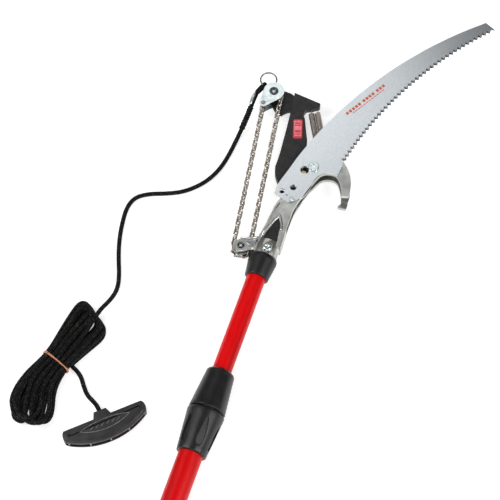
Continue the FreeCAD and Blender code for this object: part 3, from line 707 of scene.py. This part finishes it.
def make_cord(handle):
    """Braided cord from the ring's eye, through the hank, to the handle."""
    line = spline_points("cord_line", RUN + hank_points() + TAIL)
    path, length = evenly(line, 1.1 * MM)
    rope = wear(sweep("pull_rope", path, CORD_RADIUS * MM, sides=14), "cord")
    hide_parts("pull_cord", "cord_hank", "cord_tail")
    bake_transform(rope)
    return rope


def make_tie():
    """Thin copper-coloured band wound round the hank's waist."""
    low = Vector((-250.5, -201.5, 0))
    high = Vector((-208.2, -217.8, 0))
    middle = (low + high) / 2
    half = (high - low).length / 2
    across = (high - low).normalized()
    along = Vector((across.y, -across.x, 0))
    turns = 3
    steps = 50
    width = 2.6
    half_height = 9.6
    height = -16.2
    lowest = -26.2
    square = 0.6    # power that squares the loop's corners
    points = []
    for k in range(turns * steps):
        angle = math.tau * k / steps
        shift = (k / (turns * steps) - 0.5) * width + 0.5 * math.sin(angle * 1.7)
        x = math.copysign(abs(math.cos(angle)) ** square, math.cos(angle)) * half
        z = math.copysign(abs(math.sin(angle)) ** square, math.sin(angle)) * half_height + height
        spot = middle + across * x + along * shift
        points.append(at(spot.x, spot.y, max(z, lowest)))
    tie = wear(sweep("hank_band", points, 0.75 * MM, sides=8), "copper")
    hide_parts("hank_tie")
    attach(tie, "head")
    return tie


# ---------------------------------------------------------------- handle

# The handle's own coordinates: x along it, y towards the cord, from the root of its neck.
HANDLE_TURN = math.radians(42.2)
HANDLE_SPOT = Matrix.Translation((-137.2, -267.2, 0)) @ Matrix.Rotation(HANDLE_TURN, 4, "Z")
BELLY = ((60, -15), (0, -33.5), (-60, -15))
HANDLE = [
    (-58, 0), (-13, 0), (-9, 9.5), (9, 9.5), (13, 0), (58, 0), (60, -15, 61.5, -7),
    (-60, -15, 0, -33.5), (-58, 0, -61.5, -7),
]
CHANNEL = 3.4           # depth of the channel along the belly
CHANNEL_FROM = -14.5    # the channel lies below this y
CHANNEL_LAYER = 4       # the channel's back wall starts at this layer of the body
HANDLE_TOP = -8.0


def inset(points, amount):
    """Outline moved inwards by amount, corner by corner. The outline runs clockwise."""
    moved = []
    count = len(points)
    for k, point in enumerate(points):
        a = Vector(points[k - 1])
        b = Vector(point)
        c = Vector(points[(k + 1) % count])
        way = ((b - a).normalized() + (c - b).normalized()).normalized()
        moved.append((b.x + way.y * amount, b.y - way.x * amount))
    return moved


def handle_body():
    """T-handle: layers from its lower rim up, with a channel along the belly whose back wall is
    painted darker as painted shade.
    """
    rim = outline(HANDLE, 28)
    rim = [p for k, p in enumerate(rim) if math.dist(p, rim[k - 1]) > 0.05]
    layers = [(-27.0, 1.2), (-26.4, 0.2), (-26.0, 0.0), (-25.4, 0.0), (-25.2, CHANNEL),
              (-14.4, CHANNEL), (-14.2, 0.0), (-12.8, 0.0), (-11.6, 0.4), (-10.4, 1.0),
              (-9.4, 2.0), (-8.7, 3.4), (-8.2, 5.4), (HANDLE_TOP, 8.0)]
    bm = bmesh.new()
    rings = []
    for height, amount in layers:
        ring_points = []
        for (x, y), (mx, my) in zip(rim, inset(rim, amount)):
            plain = amount == CHANNEL and y > CHANNEL_FROM
            px, py = (x, y) if plain else (mx, my)
            ring_points.append(bm.verts.new(at(*(HANDLE_SPOT @ Vector((px, py, height))))))
        rings.append(ring_points)
    count = len(rim)
    for low, high in zip(rings, rings[1:]):
        for k in range(count):
            n = (k + 1) % count
            face = bm.faces.new((low[k], low[n], high[n], high[k]))
            # The channel's back wall takes material 1, darker paint as painted shade in the pockets.
            sunk = low is rings[CHANNEL_LAYER] and rim[k][1] < CHANNEL_FROM
            face.material_index = 1 if sunk else 0
    for cap in (list(reversed(rings[0])), rings[-1]):
        bm.faces.new(cap)
    handle = smooth(built("pull_handle", bm), 38)
    wear(handle, "grip")
    handle.data.materials.append(PAINTS["pit"])
    return handle


def belly(share, out, height):
    """Point beside the handle's curved side, out of it by out."""
    spots = [BELLY[0]] + arc(*BELLY, 60)
    place = min(59.0, max(0.0, share * 60))
    k = int(place)
    (ax, ay), (bx, by) = spots[k], spots[k + 1]
    way = Vector((bx - ax, by - ay)).normalized()
    x = ax + (bx - ax) * (place - k) - way.y * out
    y = ay + (by - ay) * (place - k) + way.x * out
    return at(*(HANDLE_SPOT @ Vector((x, y, height)))), math.atan2(way.y, way.x)


def handle_ribs(parent):
    """Lips along the belly's channel, and short bars that divide it into pockets."""
    # Lips and bars wear the paler rim paint: part wear, part painted highlight.
    for name, height in (("upper", -13.6), ("lower", -25.7)):
        line = [belly(k / 60, 0.1, height)[0] for k in range(61)]
        lip = wear(sweep("handle_lip_" + name, line, 0.55 * MM, sides=8), "rim")
        lip.parent = parent
    for k, share in enumerate((0.02, 0.27, 0.5, 0.73, 0.97)):
        spot, heading = belly(share, -2.0, -19.8)
        bm = bmesh.new()
        bmesh.ops.create_cube(bm, size=1.0)
        bmesh.ops.bevel(bm, geom=bm.edges, offset=0.12, segments=2, affect="EDGES")
        size = Matrix.Diagonal((2.2, 3.6, 11.2, 1.0))
        turn = Matrix.Rotation(HANDLE_TURN + heading, 4, "Z")
        shift = Matrix.Translation(spot / MM)
        bmesh.ops.transform(bm, matrix=Matrix.Scale(MM, 4) @ shift @ turn @ size, verts=bm.verts)
        rib = wear(smooth(built("handle_rib_%d" % k, bm)), "rim")
        rib.parent = parent


def handle_panel(parent):
    """Leaf-shaped panel with a raised lip on the handle's top."""
    left = (-37, -10.5)
    right = (37, -10.5)
    leaf = [left] + arc(left, (0, -4.6), right, 30) + arc(right, (0, -19.5), left, 30)[:-1]
    lip = [at(*(HANDLE_SPOT @ Vector((x, y, HANDLE_TOP)))) for x, y in leaf]
    # The leaf's lip and bars wear the paler rim paint: part wear, part painted highlight.
    edge = wear(sweep("handle_leaf_lip", lip, 0.5 * MM, sides=8, closed=True), "rim")
    edge.parent = parent
    for k in range(6):
        x = -20 + 8 * k
        bar = [at(*(HANDLE_SPOT @ Vector((x + dx, dy - 12.0, HANDLE_TOP + 0.05))))
               for dx, dy in ((-2.6, -1.6), (2.6, 1.6))]
        made = wear(sweep("handle_leaf_bar_%d" % k, bar, 0.45 * MM, sides=8), "rim")
        made.parent = parent


def make_handle():
    """T-handle at the cord's far end."""
    handle = handle_body()
    handle_ribs(handle)
    handle_panel(handle)
    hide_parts("t_handle")
    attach(handle, "head")
    return handle


# ---------------------------------------------------------------- springs

def coil(name, node, top, bottom, hook, pin):
    """Close-wound extension spring with a hook at each end."""
    wire = 0.62
    gap = 0.12
    radius = 4.05
    a = Vector((*top, 0))
    b = Vector((*bottom, 0))
    way = (b - a).normalized()
    side = Vector((-way.y, way.x, 0))
    up = Vector((0, 0, 1))
    turns = int((b - a).length / (2 * wire + gap))
    per_turn = 16
    points = []
    for k in range(turns * per_turn + 1):
        share = k / (turns * per_turn)
        angle = math.tau * k / per_turn
        spot = a + (b - a) * share + side * radius * math.cos(angle) + up * radius * math.sin(angle)
        points.append(spot)
    start = [Vector((*hook, 0)) + way * -1.0 + side * 0.4, Vector((*hook, 0)) + way * 1.5,
             a - way * 1.6 + side * 1.2]
    end = [b + way * 1.6 + side * 1.2, Vector((*pin, 0)) - way * 2.0, Vector((*pin, 0))]
    line = [at(*p) for p in start + points + end]
    made = wear(sweep(name, line, wire * MM, sides=7), "spring")
    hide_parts(node)
    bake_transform(made)
    return made


# ---------------------------------------------------------------- saw blade

SPINE_CENTRE = (644.4, 8.8)
SPINE_RADIUS = 674.2
SPINE_FROM = 131.3
SPINE_TO = 163.8
TOOTH_CENTRE = (683.0, 82.8)
TIP_RADIUS = 629.8
TOOTH_PITCH = 7.8
TOOTH_DEPTH = 4.0
GRIND_DEPTH = 7.2
TEETH_FROM = 168.0
TEETH_TO = 138.2
SAW_LOW = 14.0
SAW_HIGH = 15.7


def polar(centre, radius, degrees):
    """Point on a circle, from its angle."""
    angle = math.radians(degrees)
    return centre[0] + radius * math.cos(angle), centre[1] + radius * math.sin(angle)


def tooth_step():
    """Angle from one tooth to the next, in degrees, and the number of teeth."""
    step = math.degrees(TOOTH_PITCH / (TIP_RADIUS + 0.8))
    return step, int((TEETH_FROM - TEETH_TO) / step)


def saw_teeth():
    """Teeth with both flanks ground to the back face, the heel-side one painted darker as painted
    shade.
    """
    step, count = tooth_step()
    bm = bmesh.new()

    def corner(depth, degrees, height):
        x, y = polar(TOOTH_CENTRE, TIP_RADIUS + depth, degrees)
        return bm.verts.new(at(x, y, height))

    base = GRIND_DEPTH + 1.0
    for k in range(count):
        start = TEETH_FROM - k * step
        rim = [(TOOTH_DEPTH, start), (0.0, start - 0.45 * step), (TOOTH_DEPTH, start - step)]
        edge = [(corner(depth, spot, SAW_LOW + 0.3), corner(depth, spot, SAW_LOW))
                for depth, spot in rim]
        root_a = corner(TOOTH_DEPTH + 0.9, start - 0.04 * step, SAW_HIGH)
        peak = corner(GRIND_DEPTH, start - 0.22 * step, SAW_HIGH)
        middle = corner(TOOTH_DEPTH - 0.6, start - 0.62 * step, SAW_HIGH)
        root_b = corner(TOOTH_DEPTH + 0.9, start - 1.04 * step, SAW_HIGH)
        base_a = corner(base, start - 0.04 * step, SAW_HIGH)
        base_b = corner(base, start - 1.04 * step, SAW_HIGH)
        back_a = corner(base, start, SAW_LOW)
        back_b = corner(base, start - step, SAW_LOW)
        faces = [
            # Material 1, the heel-side flank, carries the painted shade.
            ((edge[0][0], edge[1][0], peak, root_a), 1),
            ((edge[1][0], middle, peak), 0),
            ((edge[1][0], edge[2][0], root_b, middle), 0),
            ((root_a, peak, base_a), 0),
            ((peak, middle, root_b, base_b, base_a), 0),
            ((back_a, back_b, edge[2][1], edge[1][1], edge[0][1]), 0),
            ((edge[0][1], edge[1][1], edge[1][0], edge[0][0]), 0),
            ((edge[1][1], edge[2][1], edge[2][0], edge[1][0]), 0),
        ]
        for corners, paint in faces:
            bm.faces.new(corners).material_index = paint
    bmesh.ops.remove_doubles(bm, verts=bm.verts, dist=SAME_SPOT)
    teeth = wear(built("saw_teeth", bm), "steel")
    teeth.data.materials.append(PAINTS["ground"])
    return teeth


def saw_plate():
    """The blade inside its teeth: curved spine, stepped shank and the holes in its root."""
    step, count = tooth_step()
    last = TEETH_FROM - count * step
    base = TIP_RADIUS + GRIND_DEPTH + 0.9
    inner = [polar(TOOTH_CENTRE, base, TEETH_FROM + (last - TEETH_FROM) * k / 80) for k in range(81)]
    spine = [polar(SPINE_CENTRE, SPINE_RADIUS, SPINE_FROM + (SPINE_TO - SPINE_FROM) * k / 80)
             for k in range(81)]
    low = outline([(-9.7, 126.8), (7, 122), (22.5, 134), (24.5, 145), (29.5, 161), (33.5, 173),
                   (50, 188, 39.5, 183), (63, 187.5), (65, 205)])
    heel = polar(TOOTH_CENTRE, TIP_RADIUS + TOOTH_DEPTH, TEETH_FROM)
    point = polar(TOOTH_CENTRE, TIP_RADIUS + TOOTH_DEPTH, last)
    shank = [(-9.6, 170.9)] + arc((-9.6, 170.9), (-13.1, 158.5), (-16.2, 146), 8)
    shank += [(-16.6, 131.4)] + arc((-16.6, 131.4), (-15.9, 128.6), (-13.6, 127.6), 4)
    edge = low + [heel] + inner + [point, (217, 507)] + spine + shank
    holes = [ring(25, 190, 5.0), ring(11, 128, 2.0), ring(14, 181, 6.6), ring(7, 148, 4.8),
             ring(-7, 137, 4.0), ring(2, 132.5, 1.5)]
    return wear(flat("saw_plate", [edge] + holes, SAW_LOW, SAW_HIGH, 0.12), "steel")


def blade_mark(parent):
    """Plain orange bars where the blade carries its printing."""
    way = Vector((0.509, 0.861))
    side = Vector((-way.y, way.x))
    first = Vector((46.5, 290.0))
    bars = [(6.1 * k + 3.0 * (k > 4) + 3.0 * (k > 8), 4.3, 0.6, 4.6) for k in range(12)]
    bars += [(8 + 5.4 * k, 4.4, -3.0, 1.3) for k in range(12)]
    for k, (spot, length, lift, height) in enumerate(bars):
        low = first + way * spot + side * lift
        bar = [low, low + way * length, low + way * length + side * height, low + side * height]
        mark = wear(flat("blade_mark_%02d" % k, [[tuple(p) for p in bar]], SAW_HIGH - 0.05,
                         SAW_HIGH + 0.06, 0.02), "orange")
        mark.parent = parent


def make_saw():
    """Plate, teeth and the bars that stand for its printing."""
    plate = saw_plate()
    teeth = saw_teeth()
    teeth.parent = plate
    blade_mark(plate)
    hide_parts("saw_blade")
    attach(plate, "head")


# ---------------------------------------------------------------- casting

WINDOW = outline([(-8, 55.3), (2.4, 95.3, -3.6, 80), (9.6, 76, 6.6, 87.5), (11.6, 56.2)], 14)
WINDOW_FOOT = 56.5
CONE_PLACES = [33, 58, 72, 88, 100, 104]
CONE_RADII = [18.5, 18.5, 15.3, 11.2, 8.0, 0.0]
NECK_FROM = 60
NECK_TOP = 14.0


def socket_height(x, y):
    """Front surface of the socket's cone and the flat neck beyond it."""
    radius = np.interp(y, CONE_PLACES, CONE_RADII)
    cone = math.sqrt(max(0.0, radius ** 2 - x ** 2))
    return max(cone, NECK_TOP) if y > NECK_FROM else cone


def round_window(x_scale, y_scale):
    """The window's outline, wider, from its lower left corner over the top."""
    middle = Vector((3.0, 75.0))
    wide = []
    for x, y in WINDOW:
        away = Vector((x, y)) - middle
        spot = middle + Vector((away.x * x_scale, away.y * y_scale))
        if spot.y > WINDOW_FOOT:
            wide.append((spot.x, spot.y))
    low = wide.index(min(wide, key=lambda p: (p[1] > NECK_FROM, p[0])))
    return wide[low:] + wide[:low]


def casting_lips():
    """Raised rounded edges of the casting, painted lighter as painted highlight, and a dark line of
    painted shade for the groove round its window.
    """
    lines = [
        ("window_lip", round_window(1.26, 1.14), 1.9, None),
        ("socket_rib", [(-12.5, 57), (-10.8, 72), (-9.4, 86), (-7.8, 104), (-4.0, 118)], 1.2, None),
        ("bracket_flange", [(-40.5, 46.8), (-28, 51.0), (-12, 57.6)], 1.5, 11.8),
        ("bracket_rim", [(-36.5, 26.2), (-30, 29), (-24, 32.2), (-19, 34.6), (-17.6, 40),
                         (-16.6, 52)], 1.0, 12.0),
    ]
    for name, line, radius, height in lines:
        points = []
        for x, y in line:
            lift = socket_height(x, y) - 0.5 if height is None else height
            points.append(at(x, y, lift))
        lip = wear(sweep(name, points, radius * MM, sides=10), "edge")
        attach(lip, "head")
    # Dark steel line round the window: painted shade for the groove beside its lip.
    points = [at(x, y, socket_height(x, y) - 0.2) for x, y in round_window(1.55, 1.3)]
    groove = wear(sweep("window_groove_painted_shade", points, 0.5 * MM, sides=10), "dull")
    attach(groove, "head")


# ---------------------------------------------------------------- small pieces

def bracket_panels():
    """Darker flat panel on each ear of the bracket, painted shade for its sunk panel, and a rounded
    frame painted lighter as painted highlight.
    """
    inner = [(-17.8, 51.6), (-32.3, 43.6), (-24.8, 40.2), (-19.6, 36.8), (-17.8, 38.6)]
    for name, low, rim in (("front", 12.0, 12.2), ("back", -12.2, -12.2)):
        # The panel lies on the ear's flat face; its darker paint is painted shade for the recess.
        panel = wear(flat("bracket_panel_shade_" + name, [inner], low, low + 0.2, 0.05), "sunk")
        line = [at(x, y, rim) for x, y in inner]
        lip = sweep("bracket_frame_" + name, line, 0.75 * MM, sides=10, closed=True)
        for piece in (panel, wear(lip, "edge")):
            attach(piece, "head")


def insert_face():
    """Front of the black insert, which fills the window just under the socket's surface."""
    window = [p for k, p in enumerate(WINDOW) if math.dist(p, WINDOW[k - 1]) > 0.05]
    middle = Vector((2.8, 72.0))
    rings = []
    bm = bmesh.new()
    for depth, scales in ((2.6, (0.97,)), (1.3, (0.97, 0.6, 0.25))):
        for scale in scales:
            loop = []
            for x, y in window:
                spot = middle + (Vector((x, y)) - middle) * scale
                loop.append(bm.verts.new(at(spot.x, spot.y, socket_height(spot.x, spot.y) - depth)))
            rings.append(loop)
    count = len(window)
    for low, high in zip(rings, rings[1:]):
        for k in range(count):
            n = (k + 1) % count
            bm.faces.new((low[k], low[n], high[n], high[k]))
    bm.faces.new(list(reversed(rings[0])))
    bm.faces.new(rings[-1])
    face = wear(smooth(built("insert_face", bm)), "insert")
    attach(face, "head")


def make_label():
    """Pale face of the lever's label, with plain bars for its printing."""
    spin = Matrix.Translation(at(-18.7, 249, 6.25)) @ Matrix.Rotation(math.radians(16.8), 4, "Z")
    place = spin @ Matrix.Translation(-at(0, 0, 0))
    face = wear(flat("label_face", [[(-5.6, -13), (5.6, -13), (5.6, 14.5), (-5.6, 14.5)]],
                     0, 0.2, 0.05), "pale")
    face.data.transform(place)
    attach(face, "lever")
    for k, (y, half) in enumerate(((9.5, 1.1), (6.0, 0.8), (-4.5, 1.6), (-9.0, 0.8))):
        bar = wear(flat("label_bar_%d" % k, [[(-4, y - half), (4, y - half), (4, y + half),
                                              (-4, y + half)]], 0.1, 0.3, 0.03), "label")
        bar.data.transform(place)
        bar.parent = face


def rivet_ends():
    """Bright domed ends in the two hollow rivets, and a near-black disc in the saw's low hole as
    painted shade.
    """
    for name, centre, top, body, radius in (("block_pin", (-73, 299, 0), 8.6, "block", 2.9),
                                            ("bracket_pin", (-36, 36, 0), 12.4, "head", 2.3)):
        profile = [(0, top - 3), (radius, top - 3), (radius, top - 0.5), (radius - 0.5, top),
                   (radius * 0.55, top + 0.35), (0, top + 0.5)]
        pin = wear(smooth(lathe(name, profile, centre), 50), "zinc")
        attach(pin, body)
    # Near-black disc under the saw's low hole: painted shade for the hole's dark inside.
    profile = [(0, 8), (3.8, 8), (3.8, 11), (3.2, 11.6), (0, 11.6)]
    pin = wear(smooth(lathe("saw_hole_shade_disc", profile, (-7, 137, 0)), 50), "pit")
    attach(pin, "head")


def blended(obj):
    """Piece on the cord between the lever's ring and the floor."""
    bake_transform(obj)
    return obj


def make_clip():
    """Cord's eye through the ring, its sleeve of bright metal, and a whipped length."""
    way = Vector((-0.33, -0.944, 0)).normalized()
    side = Vector((-way.y, way.x, 0))
    start = Vector((-88.3, 319.8, 0)) + way * 13.9
    eye = []
    for k in range(40):
        angle = math.tau * k / 40
        along = 5.4 - 9.6 * math.cos(angle)
        eye.append(at(*(start + way * along + Vector((0, 0, 3.2)) * math.sin(angle)
                        + side * 2.4 * math.sin(angle))))
    loop = wear(sweep("cord_eye", eye, 3.2 * MM, sides=14, closed=True), "cord")
    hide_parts("rope_clip")
    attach(loop, "lever")
    whip = []
    radii = []
    dip = [(-99.1, 268, -3.0), (-99.6, 262, -4.6), (-100.0, 256, -7.0), (-100.8, 249, -10),
           (-102.0, 241, -14.2), (-103.0, 234, -18)]
    for k, point in enumerate(spline_points("whipping_line", dip)):
        whip.append(point)
        radii.append((4.3 + 0.35 * math.sin(k * 1.1)) * MM)
    radii[0] = radii[-1] = 3.1 * MM
    blended(wear(sweep("cord_whipping", whip, radii, sides=14), "cord"))
    line = [(-100.0, 291.0, 0.6), (-100.6, 285, 1.0), (-101.0, 278, 0.9), (-101.3, 270, -0.6)]
    sleeve = spline_points("sleeve_line", line)
    last = len(sleeve) - 1
    radii = [(2.9 - 0.9 * abs(2 * k / last - 1) ** 4) * MM for k in range(last + 1)]
    shell = wear(sweep("cord_sleeve", sleeve, radii, sides=16), "zinc")
    blended(shell)


def swell(mesh, amount):
    """Thicken a closed mesh by moving it outwards along its normals."""
    bm = bmesh.new()
    bm.from_mesh(mesh)
    bmesh.ops.remove_doubles(bm, verts=bm.verts, dist=SAME_SPOT)
    bm.normal_update()
    moves = [v.normal * amount for v in bm.verts]
    for vert, move in zip(bm.verts, moves):
        vert.co += move
    bm.to_mesh(mesh)
    bm.free()


def quarter_turn(mesh):
    """Turn a straight length of chain by 45 degrees about its own middle line."""
    points = np.array([v.co for v in mesh.vertices])
    middle = points.mean(axis=0)
    way = np.linalg.svd(points - middle, full_matrices=False)[2][0]
    place = Matrix.Translation(Vector(middle))
    turn = Matrix.Rotation(math.radians(45), 4, Vector(way))
    mesh.transform(place @ turn @ place.inverted())


def chain_falls():
    """Straight lengths of chain, turned about their own line."""
    for node in ("chain_left_fall", "chain_right_fall"):
        fall = new_object(node + "_links", frame["nodes"][node].data.copy())
        quarter_turn(fall.data)
        swell(fall.data, CHAIN_SWELL * MM)
        wear(smooth(fall, 60), "chain")
        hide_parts(node)
        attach(fall, "chain")
        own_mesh(fall)


# ---------------------------------------------------------------- stage, light and camera

def stage():
    """Plain white floor, which glows a little so that it stays near white."""
    mesh = bpy.data.meshes.new("floor")
    bm = bmesh.new()
    bmesh.ops.create_grid(bm, x_segments=1, y_segments=1, size=6.0)
    bm.to_mesh(mesh)
    bm.free()
    floor = new_object("floor", mesh)
    floor.location.z = -0.0005
    paint = Paint("floor", "floor_white", (0.8, 0.8, 0.8), 0.9, specular=0.0)
    paint.shader.inputs["Emission Color"].default_value = (1, 1, 1, 1)
    paint.shader.inputs["Emission Strength"].default_value = 0.62
    floor.data.materials.append(paint.made)


def lamp(name, spot, target, size, power, spin=0.0):
    """Soft box that the camera doesn't see."""
    data = bpy.data.lights.new(name, "AREA")
    data.shape = "RECTANGLE"
    data.size, data.size_y = size
    data.energy = power
    obj = bpy.data.objects.new(name, data)
    bpy.context.scene.collection.objects.link(obj)
    obj.location = spot
    obj.rotation_mode = "QUATERNION"
    aim = (Vector(target) - Vector(spot)).to_track_quat("-Z", "Y")
    obj.rotation_quaternion = aim @ Quaternion((0, 0, 1), math.radians(spin))
    obj.visible_camera = False


def light():
    """Small soft box that the blade mirrors, three large ones, and a room darker low down."""
    world = bpy.data.worlds.new("studio")
    bpy.context.scene.world = world
    world.use_nodes = True
    tree = world.node_tree
    back = tree.nodes["Background"]
    where = tree.nodes.new("ShaderNodeTexCoord")
    split = tree.nodes.new("ShaderNodeSeparateXYZ")
    ramp = tree.nodes.new("ShaderNodeValToRGB")
    stops = ((0.0, 0.10), (0.45, 0.13), (0.75, 0.16), (1.0, 0.26))
    set_stops(ramp.color_ramp, [(spot, grey(value)) for spot, value in stops])
    tree.links.new(where.outputs["Generated"], split.inputs["Vector"])
    tree.links.new(split.outputs["Z"], ramp.inputs["Fac"])
    tree.links.new(ramp.outputs["Color"], back.inputs["Color"])
    back.inputs["Strength"].default_value = 0.7
    lamp("overhead", (-0.37, 1.55, 0.9), (-0.37, 1.549, 0), (0.8, 0.6), 1.75, -30.2)
    lamp("left", (-1.3, 0.3, 1.3), (0, 0.6, 0), (0.5, 1.6), 18)
    lamp("right", (1.5, 0.5, 1.3), (0, 0.7, 0), (0.5, 1.6), 18)
    lamp("front", (0.3, -1.6, 1.6), (0, 0.6, 0), (1.8, 0.6), 18)


TILT = math.radians(25.5)
HEADING = math.radians(18.74)
LENS = 122.4
CAMERA_SPOT = (319.07, -969.69, 2230.97)


def camera():
    """Long lens, high above the pole, looking down at the head."""
    data = bpy.data.cameras.new("camera")
    data.lens = LENS
    data.sensor_width = 36.0
    data.clip_start = 0.05
    data.clip_end = 60
    obj = bpy.data.objects.new("camera", data)
    bpy.context.scene.collection.objects.link(obj)
    ahead = Vector((-math.sin(HEADING), math.cos(HEADING), 0))
    down = Vector((0, 0, -1))
    look = ahead * math.sin(TILT) + down * math.cos(TILT)
    up = ahead * math.cos(TILT) - down * math.sin(TILT)
    right = look.cross(up)
    obj.matrix_world = Matrix((
        (right.x, up.x, -look.x, 0), (right.y, up.y, -look.y, 0),
        (right.z, up.z, -look.z, 0), (0, 0, 0, 1)))
    obj.location = at(*CAMERA_SPOT)
    bpy.context.scene.camera = obj
    bpy.context.scene.view_settings.view_transform = "Standard"


camera()
make_cord(make_handle())
make_tie()
coil("spring_coil_left", "return_spring_left", (-8, 283), (18.5, 231.5), (-10.2, 288.0),
     (21.2, 225.6))
coil("spring_coil_right", "return_spring_right", (0.4, 287.3), (27.4, 234.8), (-2.6, 292.6),
     (30.6, 228.3))
make_saw()
casting_lips()
bracket_panels()
insert_face()
make_label()
rivet_ends()
make_clip()
chain_falls()
stage()
light()
